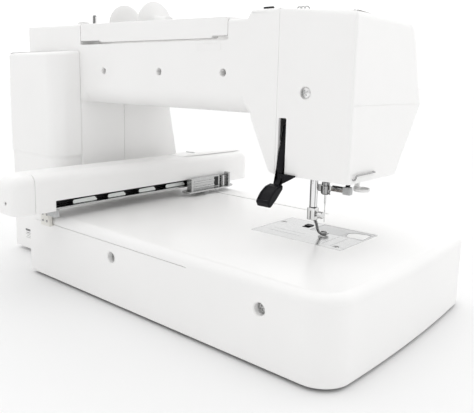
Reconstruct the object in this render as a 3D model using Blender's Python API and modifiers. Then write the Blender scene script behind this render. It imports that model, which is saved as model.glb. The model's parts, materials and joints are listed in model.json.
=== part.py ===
"""Computer embroidery machine: flat bed, column, arm, sewing head and a travelling hoop carriage.

Units: sizes are written in millimetres and MM turns them into metres.
Frame: +X from the head end towards the column, +Y from front to rear, +Z up.
The origin lies on the floor, under the middle of the whole machine.
"""

import math

import bmesh
import bpy
from mathutils import Matrix, Vector

MM = 0.001
GAP = 0.3  # free space between two pieces that touch

# Bed
BED_LEFT, BED_RIGHT = -276.5, 145.2
BED_FRONT, BED_REAR = -144.0, 132.0
BED_TOP = 78.0
BED_BOTTOM = 3.0
BED_CORNER = 28.0
BED_BOW = 5.0
WALL = 3.0

# Column, arm and head
COLUMN_LEFT, COLUMN_RIGHT = 145.5, 262.0
COLUMN_BOTTOM = 4.0
CASE_REAR, CASE_FRONT, CASE_SPLIT = 58.0, -94.0, -10.0
CASE_TOP = 297.5  # at the column; the top falls slowly towards the head
TOP_FALL = 0.0111  # fall of the top per millimetre
ARM_BOTTOM = 202.0
ARM_FILLET = 20.0
HEAD_LEFT, HEAD_SEAM, HEAD_RIGHT = -235.5, -158.5, -126.0
HEAD_BOTTOM, HEAD_TOP, HEAD_WAIST = 149.0, 298.3, 215.0
HEAD_END_TOP = 293.0  # the head's top slopes down to this height at its end
GUIDE_ENDS = ((-235.5, 50.6, 152.6), (-235.5, 14.8, 156.2))  # where the thread guide's wire enters the head
LID_LEFT, DIP_TOP = -98.0, 290.8  # between the lid and the step the top dips
STEP_X, STEP_TOP = -120.0, 298.0  # left of the step the top is level and as high as the head
SIDE_COVER_THICKNESS = 4.2
HOUSING_RIGHT, HOUSING_REAR, HOUSING_TOP = 251.5, 94.0, 261.5
HOUSING_RISE = 3.5  # how much higher the housing is where it meets the column

# Needle, presser bar and hook
NEEDLE_X, NEEDLE_Y = -167.5, -18.0
PRESSER_Y = 4.0
FOOT_TOP, FOOT_SCREW_Z = 111.0, 104.5
NEEDLE_TIP = 91.0
CLAMP_BOTTOM, CLAMP_TOP = 121.0, 134.0
HOOK_X, HOOK_Y = -179.0, -34.0
PLATE_X = (-209.0, -100.0)
PLATE_Y = (-58.0, 18.0)
PLATE_THICKNESS = 1.8
COVER_X = (-207.0, -145.0)
COVER_Y = (-57.0, -27.0)

# Shafts
MAIN_SHAFT_Y, MAIN_SHAFT_Z = -45.0, 250.0
LOWER_SHAFT_Y, LOWER_SHAFT_Z = -34.0, 32.0
SHAFT_RADIUS = 4.0
PULLEY_X = (205.0, 215.0)
PULLEY_RADIUS = 12.5

# Hoop carriage
CARRIAGE_X = (73.5, 116.5)
CARRIAGE_Y = (-188.0, 188.0)
CARRIAGE_BOTTOM, CARRIAGE_TOP = 88.0, 130.0
CARRIAGE_SLOT_Y = (-134.0, 141.0)
CARRIAGE_SLOT_TOP = 99.3
CARRIAGE_SEAM_Y = 165.0
CONNECTOR_Y = (-132.0, -55.0)
FRONT_SLOT_Y = -104.0
SLOT_LEFT = -121.5
GROOVE_Z = (66.4, 68.4)

# Top of the machine
SPOOL_Y, SPOOL_Z = -6.0, 297.8
HANDLE_X = (-96.5, 143.5)
HANDLE_PIVOT_Y, HANDLE_PIVOT_Z = 43.5, 283.0
WINDER_X, WINDER_Y = 203.0, -6.0

MATERIALS = {
    "white_shell": ((0.86, 0.86, 0.85, 1.0), 0.35, 0.0),
    "satin_steel": ((0.72, 0.72, 0.71, 1.0), 0.35, 1.0),
    "chrome": ((0.82, 0.82, 0.83, 1.0), 0.12, 1.0),
    "cast_metal": ((0.52, 0.53, 0.54, 1.0), 0.55, 1.0),
    "black_plastic": ((0.02, 0.02, 0.022, 1.0), 0.4, 0.0),
    "grey_plastic": ((0.55, 0.56, 0.56, 1.0), 0.4, 0.0),
    "clear_plastic": ((0.82, 0.85, 0.87, 1.0), 0.08, 0.0),
    "screen_glass": ((0.03, 0.035, 0.045, 1.0), 0.06, 0.0),
    "rubber": ((0.06, 0.06, 0.06, 1.0), 0.8, 0.0),
}


def clear_scene():
    for obj in list(bpy.data.objects):
        bpy.data.objects.remove(obj, do_unlink=True)


def new_collection(name):
    collection = bpy.data.collections.new(name)
    bpy.context.scene.collection.children.link(collection)
    return collection


def material(name):
    found = bpy.data.materials.get(name)
    if found:
        return found
    colour, roughness, metallic = MATERIALS[name]
    made = bpy.data.materials.new(name)
    made.use_nodes = True
    shader = made.node_tree.nodes["Principled BSDF"]
    shader.inputs["Base Color"].default_value = colour
    shader.inputs["Roughness"].default_value = roughness
    shader.inputs["Metallic"].default_value = metallic
    made.diffuse_color = colour
    return made


def place(name, mesh, origin, look=None):
    """An object whose origin is at the given point; its mesh is given in world millimetres."""
    origin = Vector(origin) * MM
    mesh.transform(Matrix.Translation(-origin) @ Matrix.Scale(MM, 4))
    obj = bpy.data.objects.new(name, mesh)
    obj.location = origin
    if look:
        PARTS.objects.link(obj)
        mesh.materials.append(material(look))
    else:
        CUTTERS.objects.link(obj)
        obj.hide_render = True
        obj.display_type = "WIRE"
    return obj


def to_mesh(name, form):
    bmesh.ops.recalc_face_normals(form, faces=form.faces)
    if form.calc_volume(signed=True) < 0:
        bmesh.ops.reverse_faces(form, faces=form.faces)
    mesh = bpy.data.meshes.new(name)
    form.to_mesh(mesh)
    form.free()
    return mesh


def box(name, x, y, z, look=None, origin=None):
    form = bmesh.new()
    bmesh.ops.create_cube(form, size=1.0)
    centre = Vector(((x[0] + x[1]) / 2, (y[0] + y[1]) / 2, (z[0] + z[1]) / 2))
    size = Vector((x[1] - x[0], y[1] - y[0], z[1] - z[0]))
    form.transform(Matrix.Translation(centre) @ Matrix.Diagonal(size).to_4x4())
    return place(name, to_mesh(name, form), origin or centre, look)


AXIS_TURN = {
    "x": Matrix.Rotation(math.radians(90), 4, "Y"),
    "y": Matrix.Rotation(math.radians(-90), 4, "X"),
    "z": Matrix.Identity(4),
}


def rod(name, centre, radius, length, axis="z", look=None, origin=None, sides=24, tip=None):
    """A cylinder from centre along the axis, or a cone when tip gives its end radius."""
    form = bmesh.new()
    end = radius if tip is None else tip
    bmesh.ops.create_cone(
        form, cap_ends=True, segments=sides, radius1=radius, radius2=end, depth=length
    )
    turn = AXIS_TURN[axis]
    shift = turn @ Vector((0, 0, length / 2))
    form.transform(Matrix.Translation(Vector(centre) + shift) @ turn)
    return place(name, to_mesh(name, form), origin or centre, look)


def prism(name, outline, axis, span, look=None, origin=None):
    """A flat outline extruded along an axis. Outline points are (x, z) for y, (y, z) for x, (x, y) for z."""
    point = {
        "x": lambda a, b: (span[0], a, b),
        "y": lambda a, b: (a, span[0], b),
        "z": lambda a, b: (a, b, span[0]),
    }[axis]
    form = bmesh.new()
    face = form.faces.new([form.verts.new(point(a, b)) for a, b in outline])
    made = bmesh.ops.extrude_face_region(form, geom=[face])
    moved = [item for item in made["geom"] if isinstance(item, bmesh.types.BMVert)]
    step = Vector(("xyz".index(axis) == i) * (span[1] - span[0]) for i in range(3))
    bmesh.ops.translate(form, verts=moved, vec=step)
    return place(name, to_mesh(name, form), origin or (0, 0, 0), look)


def turned(name, profile, centre, axis="z", look=None, origin=None, sides=32):
    """A profile of (radius, height) points, bottom to top, spun about an axis through centre."""
    form = bmesh.new()
    path = [form.verts.new((radius, 0, height)) for radius, height in profile]
    edges = [form.edges.new(pair) for pair in zip(path, path[1:])]
    bmesh.ops.spin(
        form,
        geom=path + edges,
        cent=(0, 0, 0),
        axis=(0, 0, 1),
        angle=math.tau,
        steps=sides,
        use_merge=True,
    )
    bmesh.ops.remove_doubles(form, verts=form.verts, dist=1e-4)
    bmesh.ops.holes_fill(form, edges=form.edges)
    form.transform(Matrix.Translation(Vector(centre)) @ AXIS_TURN[axis])
    return place(name, to_mesh(name, form), origin or centre, look)


def tube(name, points, radius, look=None, origin=(0, 0, 0)):
    """A round wire through the points, as a closed mesh."""
    curve = bpy.data.curves.new(name, "CURVE")
    curve.dimensions = "3D"
    curve.bevel_depth = radius
    curve.bevel_resolution = 2
    curve.use_fill_caps = True
    spline = curve.splines.new("POLY")
    spline.points.add(len(points) - 1)
    for target, point in zip(spline.points, points):
        target.co = (*point, 1.0)
    guide = bpy.data.objects.new(name + "_guide", curve)
    bpy.context.scene.collection.objects.link(guide)
    graph = bpy.context.evaluated_depsgraph_get()
    mesh = bpy.data.meshes.new_from_object(guide.evaluated_get(graph))
    bpy.data.objects.remove(guide, do_unlink=True)
    form = bmesh.new()
    form.from_mesh(mesh)
    bmesh.ops.remove_doubles(form, verts=form.verts, dist=1e-4)
    return place(name, to_mesh(name, form), origin, look)


def boolean(obj, other, operation):
    step = obj.modifiers.new(f"{operation.lower()}_{other.name}", "BOOLEAN")
    step.operation = operation
    step.object = other


def cut(obj, *cutters):
    for cutter in cutters:
        boolean(obj, cutter, "DIFFERENCE")


def join(obj, *others):
    for other in others:
        boolean(obj, other, "UNION")


def soften(obj, width, segments=2, chosen=None):
    """Rounds the edges that chosen(middle, direction) picks, or every sharp edge; in millimetres."""
    step = obj.modifiers.new("round", "BEVEL")
    step.width = width * MM
    step.segments = segments
    if chosen is None:
        step.limit_method = "ANGLE"
        step.angle_limit = math.radians(40)
        return
    step.limit_method = "WEIGHT"
    mesh = obj.data
    weights = mesh.attributes.new("bevel_weight_edge", "FLOAT", "EDGE")
    for edge in mesh.edges:
        a, b = ((obj.matrix_basis @ mesh.vertices[i].co) / MM for i in edge.vertices)
        if chosen((a + b) / 2, (b - a).normalized()):
            weights.data[edge.index].value = 1.0


def arc(centre, radius, start, end, steps):
    """Points on a circle; angles in degrees."""
    points = []
    for i in range(steps + 1):
        angle = math.radians(start + (end - start) * i / steps)
        points.append((centre[0] + radius * math.cos(angle), centre[1] + radius * math.sin(angle)))
    return points


# ---------------------------------------------------------------- bed


def bed_outline(inset=0.0):
    """Plan of the bed: square at the column, rounded and slightly bowed at its free end."""
    left, right = BED_LEFT + inset, BED_RIGHT - inset
    front, rear = BED_FRONT + inset, BED_REAR - inset
    radius = BED_CORNER - inset
    middle, half = (front + rear) / 2, (rear - front) / 2

    def bow(y):
        return BED_BOW * ((y - middle) / half) ** 2

    rear_corner = arc((left + BED_BOW * 0.7 + radius, rear - radius), radius, 90, 180, 5)
    bowed = [(left + bow(y), y) for y in (60.0, 25.0, -10.0, -45.0, -80.0)]
    front_corner = arc((left + BED_BOW * 0.7 + radius, front + radius), radius, 180, 270, 5)
    return [(right, front), (right, rear)] + rear_corner + bowed + front_corner


def make_bed():
    shell = prism("bed_cover", bed_outline(), "z", (BED_BOTTOM, BED_TOP), "white_shell")
    soften(
        shell,
        9.0,
        3,
        lambda middle, way: middle.z > BED_TOP - 1 and middle.x < BED_RIGHT - 1,
    )
    top_inside = BED_TOP - WALL
    cut(
        shell,
        prism("bed_hollow", bed_outline(WALL), "z", (BED_BOTTOM - 5, top_inside)),
        box("plate_window", grow(PLATE_X, GAP), grow(PLATE_Y, GAP), (60, BED_TOP + 2)),
        box("front_slot", (SLOT_LEFT, 128), grow((FRONT_SLOT_Y, FRONT_SLOT_Y), 1.2), (60, 90)),
        box("rear_groove", (SLOT_LEFT + 3, 132), (115, 140), GROOVE_Z),
        box("bed_to_column", (138, 150), (-112, 54), (-5, 70)),
    )
    plate = box(
        "base_plate", (-262, 138), (-130, 118), (COLUMN_BOTTOM + GAP, 6.8), "cast_metal"
    )
    join(plate, box("column_foot_plate", (130, 258), (-108, 52), (COLUMN_BOTTOM + GAP, 6.8)))
    places = {
        "foot_front_left": (-235, -105),
        "foot_rear_left": (-235, 95),
        "foot_front_right": (235, -88),
        "foot_rear_right": (235, 34),
    }
    for name, (x, y) in places.items():
        rod(name, (x, y, 0), 12, COLUMN_BOTTOM, look="rubber", tip=10.5)
    rod("x_guide_rail", (-180, 100, 40), 4, 305, "x", "chrome", sides=16)


def grow(span, by):
    return (span[0] - by, span[1] + by)


def make_needle_plate():
    top = (BED_TOP - PLATE_THICKNESS, BED_TOP)
    deep = (BED_TOP - 6, BED_TOP + 4)
    plate = box("needle_plate", PLATE_X, PLATE_Y, top, "satin_steel")
    cut(
        plate,
        box("cover_window", (COVER_X[0] - GAP, COVER_X[1] + GAP), (-70, COVER_Y[1] + GAP), deep),
        box("needle_hole", grow((NEEDLE_X, NEEDLE_X), 3.5), grow((NEEDLE_Y, NEEDLE_Y), 2.0), deep),
        box("button_window", (-139.6, -125.4), (-45.3, -36.7), deep),
    )
    box("hook_cover", COVER_X, COVER_Y, (BED_TOP - 1.6, BED_TOP), "clear_plastic")
    box("hook_cover_button", (-139, -131), (-45, -37), (BED_TOP - 3, BED_TOP + 0.8), "black_plastic")


def make_hook():
    axis = (HOOK_X, HOOK_Y, 0)
    hook = [(0, 18), (4, 18), (4, 26), (10, 26), (10, 36), (4, 36), (4, 50)]
    hook += [(18.5, 50), (18.5, 68), (16, 68), (16, 53), (0, 53)]
    turned("rotary_hook", hook, axis, look="cast_metal")
    holder = [(0, 53.6), (15.4, 53.6), (15.4, 69), (12.2, 69), (12.2, 56), (0, 56)]
    turned("bobbin_holder", holder, axis, look="black_plastic")
    reel = [(3, 56.6), (10.8, 56.6), (10.8, 57.6), (5, 58.6)]
    reel += [(5, 66.6), (10.8, 67.6), (10.8, 68.6), (3, 68.6), (3, 56.6)]
    turned("bobbin", reel, axis, look="clear_plastic")


# ---------------------------------------------------------------- column, arm and head


def top_at(x):
    """Height of the case's top line."""
    return CASE_TOP - TOP_FALL * (COLUMN_RIGHT - x)


def lean_top(obj):
    """Leans the upper part of a piece to follow the top line."""
    for vertex in obj.data.vertices:
        x, _, z = obj.location + vertex.co
        if z > 280 * MM:
            vertex.co.z -= TOP_FALL * (COLUMN_RIGHT * MM - x)


def case_outline(inset=0.0):
    """Side profile (x, z) of the column, the arm and the neck of the head."""
    neck_corner = arc((HEAD_SEAM + 1.5, HEAD_BOTTOM + 8), 8 - inset, 270, 338, 3)
    points = [
        (COLUMN_RIGHT - inset, COLUMN_BOTTOM),
        (COLUMN_RIGHT - inset, CASE_TOP - inset),
        (LID_LEFT, top_at(LID_LEFT) - inset),
        (LID_LEFT - 0.4, DIP_TOP - inset),
        (STEP_X - inset, DIP_TOP - inset),
        (STEP_X - 5 - inset, STEP_TOP - inset),
        (HEAD_SEAM + GAP, STEP_TOP - inset),
        (HEAD_SEAM + GAP, HEAD_BOTTOM + inset),
    ]
    points += neck_corner
    points += [
        (HEAD_RIGHT - inset, ARM_BOTTOM + inset),
        (COLUMN_LEFT + inset, ARM_BOTTOM + inset),
        (COLUMN_LEFT + inset, COLUMN_BOTTOM),
    ]
    return points


def hollow_outline():
    """The same profile inside the walls, run out through the seam, the side and the bottom."""
    points = case_outline(WALL)
    reach = 20.0
    moved = []
    for x, z in points:
        x = x + reach if x > COLUMN_RIGHT - WALL - 1 else x
        x = x - reach if x < HEAD_SEAM + 1 else x
        z = z - reach if z < COLUMN_BOTTOM + 1 else z
        moved.append((x, z))
    return moved


def column_front(z):
    """Front face of the column: it leans forward towards the bed."""
    return CASE_FRONT - max(0.0, (190.0 - z)) * 0.21


def make_case():
    rear = prism("rear_cover", case_outline(), "y", (CASE_SPLIT + GAP / 2, CASE_REAR), "white_shell")
    soften(
        rear,
        ARM_FILLET,
        4,
        lambda middle, way: middle.y > CASE_REAR - 1
        and abs(middle.z - ARM_BOTTOM) < 1
        and abs(way.x) > 0.9,
    )
    handle_room = ((HANDLE_X[0] - 1.2, HANDLE_X[1] + 1.5), (29.0, 70.0), (271.5, 310.0))
    hollow = prism("rear_hollow", hollow_outline(), "y", (CASE_SPLIT - 20, CASE_REAR - WALL))
    walled = box(
        "handle_walls",
        grow(handle_room[0], WALL),
        (handle_room[1][0] - WALL, 80),
        (handle_room[2][0] - WALL, 320),
    )
    cut(hollow, walled, box("fillet_room", (HEAD_RIGHT - 4, COLUMN_LEFT + 4), (41, 80), (190, 219)))
    cut(
        rear,
        hollow,
        box("handle_pocket", *handle_room),
        box("rear_top_opening", (LID_LEFT + 0.2, 258), (-40, 26), (280, 305)),
        box("housing_window", (152, 245), (50, 70), (20, 250)),
        box("rear_foot_window", (140, 152), (-60, 54), (-5, 70)),
    )

    front = prism("front_cover", case_outline(), "y", (CASE_FRONT, CASE_SPLIT - GAP / 2), "white_shell")
    lean_profile = [
        (CASE_FRONT + 10, COLUMN_BOTTOM),
        (column_front(78), COLUMN_BOTTOM),
        (column_front(78), 78),
        (column_front(190), 190),
        (CASE_FRONT + 10, 190),
    ]
    join(front, prism("column_lean", lean_profile, "x", (COLUMN_LEFT, COLUMN_RIGHT)))
    front_hollow = prism("front_hollow", hollow_outline(), "y", (CASE_FRONT + WALL, CASE_SPLIT + 20))
    lean_hollow = [(y + WALL, z) for y, z in lean_profile]
    lean_hollow[0] = (CASE_FRONT + 13, -10)
    lean_hollow[1] = (column_front(78) + WALL, -10)
    join(
        front_hollow,
        prism("lean_hollow", lean_hollow, "x", (COLUMN_LEFT + WALL, COLUMN_RIGHT + 10)),
    )
    cut(
        front,
        front_hollow,
        box("front_top_opening", (LID_LEFT + 0.2, 258), (-88, 20), (280, 305)),
        box("front_foot_window", (140, 152), (-112, 20), (-5, 70)),
        box("screen_room", (159.5, 256.5), (-98, -80), (202.5, 283.5)),
    )
    for name, x in zip(BUTTON_NAMES, BUTTON_PLACES):
        cut(front, rod(name + "_hole", (x, -100, 220), 8.3, 20, "y", sides=20))
    make_face_cover()
    make_side_cover()
    make_rear_housing()


BUTTON_NAMES = ("start_stop_button", "needle_button", "thread_cutter_button")
BUTTON_PLACES = (-140.0, -112.0, -88.0)


def head_profile(inset=0.0):
    """End view (y, z) of the head: full above the waist, drawn back below it."""
    return [
        (CASE_REAR - inset, HEAD_BOTTOM),
        (CASE_REAR - inset, HEAD_TOP - inset),
        (-52 + inset, HEAD_TOP - inset),
        (-70 + inset, 284),
        (CASE_FRONT + inset, HEAD_WAIST),
        (-62 + inset, HEAD_BOTTOM),
    ]


def above_head(drop=0.0):
    """A cutter for what lies above the head's sloping top, or that far below it."""
    seam = (HEAD_SEAM, HEAD_TOP - drop)
    end = (HEAD_LEFT, HEAD_END_TOP - drop)
    line = [(HEAD_SEAM + 40, HEAD_TOP - drop), seam, end, (HEAD_LEFT - 5, HEAD_END_TOP - drop)]
    return prism("above_head", line + [(HEAD_LEFT - 5, 340), (HEAD_SEAM + 40, 340)], "y", (-130, 90))


def make_face_cover():
    seam = HEAD_SEAM - GAP
    cover = prism("face_cover", head_profile(), "x", (HEAD_LEFT, seam), "white_shell")
    soften(
        cover,
        22,
        4,
        lambda middle, way: middle.x < HEAD_LEFT + 1 and middle.y < -40 and abs(way.y) < 0.9,
    )
    inside = [(y, z - 20 if z == HEAD_BOTTOM else z) for y, z in head_profile(WALL)]
    hollow = prism("face_hollow", inside, "x", (-223, seam + 20))
    cut(hollow, above_head(WALL))
    cut(
        cover,
        above_head(),
        hollow,
        *[rod("guide_hole", (HEAD_LEFT - 5, y, z), 0.9, 9.5, "x", sides=20) for _, y, z in GUIDE_ENDS],
        box("lifter_slot", (-169.6, -161.0), (50, 70), (140, 201)),
        box("take_up_slot", (-193, -185), (-110, -60), (196, 272)),
    )
    floor = box("head_floor", (-222.6, -159), (-52, 48), (HEAD_BOTTOM + 2, HEAD_BOTTOM + 5), "white_shell")
    cut(floor, box("bar_window", (-207.5, -150), (-40, 14), (140, 170)))
    cut(floor, box("lifter_room", (-172, -150), (10, 60), (140, 170)))
    box("head_lamp", (-221, -209), (-30, 20), (HEAD_BOTTOM + 5.3, HEAD_BOTTOM + 9), "clear_plastic")


def make_side_cover():
    left = COLUMN_RIGHT + GAP
    outline = [
        (CASE_REAR - 1, COLUMN_BOTTOM),
        (CASE_REAR - 1, CASE_TOP - 1.5),
        (CASE_FRONT + 1, CASE_TOP - 1.5),
        (CASE_FRONT + 1, 190),
        (column_front(78) + 1, 78),
        (column_front(78) + 1, COLUMN_BOTTOM),
    ]
    side = prism("side_cover", outline, "x", (left, left + SIDE_COVER_THICKNESS), "white_shell")
    cut(
        side,
        rod("shaft_hole", (250, MAIN_SHAFT_Y, MAIN_SHAFT_Z), 7, 30, "x"),
        box("inlet_hole", (250, 280), (9.7, 37.3), (24.7, 45.3)),
        box("switch_hole", (250, 280), (12.7, 34.3), (51.7, 68.3)),
    )


def make_rear_housing():
    radius = 20.0
    near = CASE_REAR + GAP
    outline = [(HOUSING_RIGHT, near), (HOUSING_RIGHT, HOUSING_REAR)]
    outline += arc((COLUMN_LEFT + radius, HOUSING_REAR - radius), radius, 90, 180, 6)
    outline += [(COLUMN_LEFT, near)]
    peak = HOUSING_TOP + HOUSING_RISE
    housing = prism("rear_housing", outline, "z", (COLUMN_BOTTOM, peak), "white_shell")
    above = [(near, peak), (near, peak + 10), (HOUSING_REAR + 10, peak + 10)]
    above += [(HOUSING_REAR + 10, HOUSING_TOP), (HOUSING_REAR, HOUSING_TOP)]
    cut(housing, prism("housing_slope", above, "x", (COLUMN_LEFT - 10, HOUSING_RIGHT + 10)))
    inner = radius - WALL
    hollow = [(HOUSING_RIGHT - WALL, near - 20), (HOUSING_RIGHT - WALL, HOUSING_REAR - WALL)]
    hollow += arc((COLUMN_LEFT + radius, HOUSING_REAR - radius), inner, 90, 180, 6)
    hollow += [(COLUMN_LEFT + WALL, near - 20)]
    low, high = COLUMN_BOTTOM + WALL, HOUSING_TOP - WALL
    cut(housing, prism("housing_hollow", hollow, "z", (low, high)))


def make_frame():
    """The casting that carries everything: bed beam, post, arm beam and head."""
    depth = (12, 38)
    frame = box("machine_frame", (-215, 240), depth, (12, 42), "cast_metal")
    join(
        frame,
        box("frame_post", (170, 200), depth, (30, 240)),
        box("frame_arm", (-205, 200.5), depth, (222, 244)),
        box("frame_head", (-205, -146), depth, (178, 230)),
    )


# ---------------------------------------------------------------- drive


def make_drive():
    axis = (0, MAIN_SHAFT_Y, MAIN_SHAFT_Z)
    shaft = [(0, -148), (15, -148), (15, -140), (SHAFT_RADIUS, -140), (SHAFT_RADIUS, PULLEY_X[0])]
    shaft += [(PULLEY_RADIUS, PULLEY_X[0]), (PULLEY_RADIUS, PULLEY_X[1])]
    shaft += [(SHAFT_RADIUS, PULLEY_X[1]), (SHAFT_RADIUS, 266), (0, 266)]
    turned("main_shaft", shaft, axis, "x", "chrome", sides=24)
    low = (0, LOWER_SHAFT_Y, LOWER_SHAFT_Z)
    shaft = [(0, -158), (9, -158), (9, -148), (SHAFT_RADIUS, -148), (SHAFT_RADIUS, PULLEY_X[0])]
    shaft += [(PULLEY_RADIUS, PULLEY_X[0]), (PULLEY_RADIUS, PULLEY_X[1])]
    shaft += [(SHAFT_RADIUS, PULLEY_X[1]), (SHAFT_RADIUS, 222), (0, 222)]
    turned("lower_shaft", shaft, low, "x", "chrome", sides=24)
    wheel = [(0, 266.8), (27, 266.8), (29, 268.5), (29, 274.5), (27, 276.5)]
    wheel += [(14, 276.5), (12, 274), (0, 274)]
    turned("handwheel", wheel, axis, "x", "white_shell", sides=40)
    make_belt()
    turned(
        "drive_motor",
        [(0, 160), (3, 160), (3, 170), (21, 170), (22, 172), (22, 228), (21, 230), (0, 230)],
        (0, 66, 92),
        "x",
        "cast_metal",
        sides=28,
    )


def belt_outline(radius):
    """The taut belt's outline (y, z) round the two pulleys, at the given radius."""
    rise = math.degrees(math.atan2(MAIN_SHAFT_Z - LOWER_SHAFT_Z, MAIN_SHAFT_Y - LOWER_SHAFT_Y))
    upper = arc((MAIN_SHAFT_Y, MAIN_SHAFT_Z), radius, rise - 90, rise + 90, 10)
    lower = arc((LOWER_SHAFT_Y, LOWER_SHAFT_Z), radius, rise + 90, rise + 270, 10)
    return upper + lower


def make_belt():
    inner, outer = PULLEY_RADIUS + GAP, PULLEY_RADIUS + 2.2
    width = (PULLEY_X[0] + 1, PULLEY_X[1] - 1)
    belt = prism("timing_belt", belt_outline(outer), "x", width, "rubber")
    cut(belt, prism("belt_inside", belt_outline(inner), "x", (width[0] - 5, width[1] + 5)))


# ---------------------------------------------------------------- sewing head


def make_needle_bar():
    at = (NEEDLE_X, NEEDLE_Y)
    rod("needle_bar", (*at, CLAMP_TOP + GAP), 3.2, 96, look="chrome", sides=20)
    height = CLAMP_TOP - CLAMP_BOTTOM
    clamp = rod("needle_clamp", (*at, CLAMP_BOTTOM), 4.8, height, look="chrome", sides=20)
    join(clamp, box("clamp_lug", (NEEDLE_X + 3, NEEDLE_X + 8), grow((NEEDLE_Y, NEEDLE_Y), 3), (124, 131)))
    screw = [(0, 8.3), (3.4, 8.3), (3.4, 15), (2.8, 15.6), (0, 15.6)]
    turned("needle_clamp_screw", screw, (NEEDLE_X, NEEDLE_Y, 127.5), "x", "chrome", sides=20)
    top = CLAMP_BOTTOM - GAP
    needle = [(0, NEEDLE_TIP), (0.45, NEEDLE_TIP + 3), (0.5, 110), (1.0, 112), (1.0, top), (0, top)]
    turned("needle", needle, (*at, 0), look="chrome", sides=12)


def make_presser():
    at = (NEEDLE_X, PRESSER_Y)
    rod("presser_bar", (*at, FOOT_TOP + GAP), 3.8, 120, look="chrome", sides=20)
    holder = (grow((NEEDLE_X, NEEDLE_X), 4.6), (-0.5, 8.5), (98.5, FOOT_TOP))
    foot = box("presser_foot", *holder, "chrome")
    ring = turned(
        "foot_ring",
        [(3.4, 79.6), (5.4, 79.6), (5.4, 81.2), (3.4, 81.2), (3.4, 79.6)],
        (NEEDLE_X, NEEDLE_Y, 0),
        sides=24,
    )
    link = prism(
        "foot_link",
        [(2.0, 100), (-2.0, 99), (-6.4, 91), (-11.0, 82.4), (-14.2, 81), (-14, 79.8), (-9.8, 80.4), (-3.6, 90)],
        "x",
        (NEEDLE_X - 2, NEEDLE_X + 2),
    )
    join(foot, ring, link)
    screw = [(0, NEEDLE_X - 12), (3.6, NEEDLE_X - 12), (3.6, NEEDLE_X - 6.6), (2, NEEDLE_X - 6.6)]
    screw += [(2, NEEDLE_X - 4.9), (0, NEEDLE_X - 4.9)]
    turned("foot_screw", screw, (0, PRESSER_Y, FOOT_SCREW_Z), "x", "chrome", sides=20)


def make_lifter():
    """The black lever that lifts the foot: it comes out of the rear slot and ends in a finger pad."""
    inner = [(44.5, 195), (43, 178), (49, 169), (54.4, 161), (55, 149), (57.5, 142), (65, 134)]
    outer = [(74, 134), (64, 142), (59.5, 147), (61, 156), (60, 164), (57.6, 172), (54, 183), (52, 196)]
    lever = prism(
        "presser_lifter", inner + outer, "x", (-168.9, -161.7), "black_plastic", (NEEDLE_X, 44, 188)
    )
    pad = [(62.6, 141.6), (63.4, 136.6), (72.4, 127.9), (81.4, 121.6), (84.6, 127.6), (78.6, 135.1), (71.6, 139.6)]
    join(lever, prism("lifter_pad", pad, "x", (-172.8, -157.8)))


def make_head_levers():
    pivot = (-189.0, -48.0, 222.0)
    arm = [(-46, 219), (-45, 226), (-80, 240), (-106, 236), (-107, 230), (-98, 231), (-79, 234)]
    prism("take_up_lever", arm, "x", (-190.6, -187.4), "chrome", pivot)
    stem = box("threader_lever", (-205, -200.6), (-20, -16), (132, 175), "white_shell")
    join(stem, rod("threader_pad", (-208, -18, 130), 8, 3, sides=20))
    threader = box("needle_threader", (-196, -174.5), (-21, -15), (125, 131), "grey_plastic")
    join(threader, box("threader_stem", (-195, -189), (-21, -15), (128, 170)))
    (end_x, rear_y, rear_z), (_, front_y, front_z) = GUIDE_ENDS
    guide = [(end_x + 3.5, rear_y, rear_z), (end_x - 1.4, rear_y, rear_z), (end_x - 2.2, rear_y - 0.4, rear_z + 0.8)]
    guide += [(end_x - 2.2, rear_y - 2.4, front_z), (end_x - 2.2, front_y + 1.2, front_z)]
    guide += [(end_x - 1.2, front_y, front_z), (end_x + 3.5, front_y, front_z)]
    tube("face_thread_guide", guide, 0.7, "chrome")


# ---------------------------------------------------------------- top of the machine


def make_top():
    cover = box("top_cover", (LID_LEFT + 0.6, 257.6), (-87.6, 25.6), (CASE_TOP - WALL, CASE_TOP), "white_shell")
    tray = box("spool_tray", (30, 154), (-39, 25.6), (262, CASE_TOP - 1))
    lean_top(cover)
    lean_top(tray)
    join(cover, tray)
    cut(cover, box("spool_room", (32, 152), (-37, 23.6), (264, 300)))
    cut(cover, box("winder_room", (192, 222), (-14, 2), (280, 305)))
    pin = [(0, 44), (2.5, 44), (3, 46), (3, 149.5), (5, 149.5), (5, 151.7), (0, 151.7)]
    turned("spool_pin", pin, (0, SPOOL_Y, SPOOL_Z), "x", "chrome", sides=16)
    disc = [(3.4, 134), (5.5, 134), (5.5, 136), (24, 136), (27, 136.6), (27, 138.4)]
    disc += [(5.5, 139), (5.5, 148), (3.4, 148), (3.4, 134)]
    turned("spool_holder", disc, (-2, SPOOL_Y, SPOOL_Z), "x", "white_shell", sides=40)
    cap = [(3.4, 53), (9, 53.4), (10, 55), (10, 72), (13, 76), (26, 78), (28, 79)]
    cap += [(28, 81), (24, 82), (3.4, 82), (3.4, 53)]
    turned("spool_cap", cap, (0, SPOOL_Y, SPOOL_Z), "x", "clear_plastic", sides=40)
    base_top = top_at(WINDER_X) + 0.6
    place = (WINDER_X, WINDER_Y, base_top - 2.6)
    box("winder_base", (193, 213), (-13, 1), (base_top - 5.6, base_top), "white_shell", place)
    low = base_top + 0.4
    spindle = [(0, low), (5, low), (5, low + 1.5), (3, low + 2), (2.6, 315), (2, 316), (0, 316)]
    turned("winder_spindle", spindle, (WINDER_X, WINDER_Y, 0), look="chrome", sides=20)
    rod("winder_stopper", (228, WINDER_Y, top_at(236.2) + GAP), 8.2, 11, look="white_shell", sides=28)
    base = STEP_TOP + GAP
    ridge = [(-155, base), (-155, 302.4), (-153, 303.8), (-127.5, 299.4), (-126, base)]
    guide = prism("thread_guide_cover", ridge, "y", (-40, 55), "white_shell")
    cut(guide, box("guide_channel", (-148.5, -136.5), (-50, 60), (290, 300)))
    make_handle()


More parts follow.
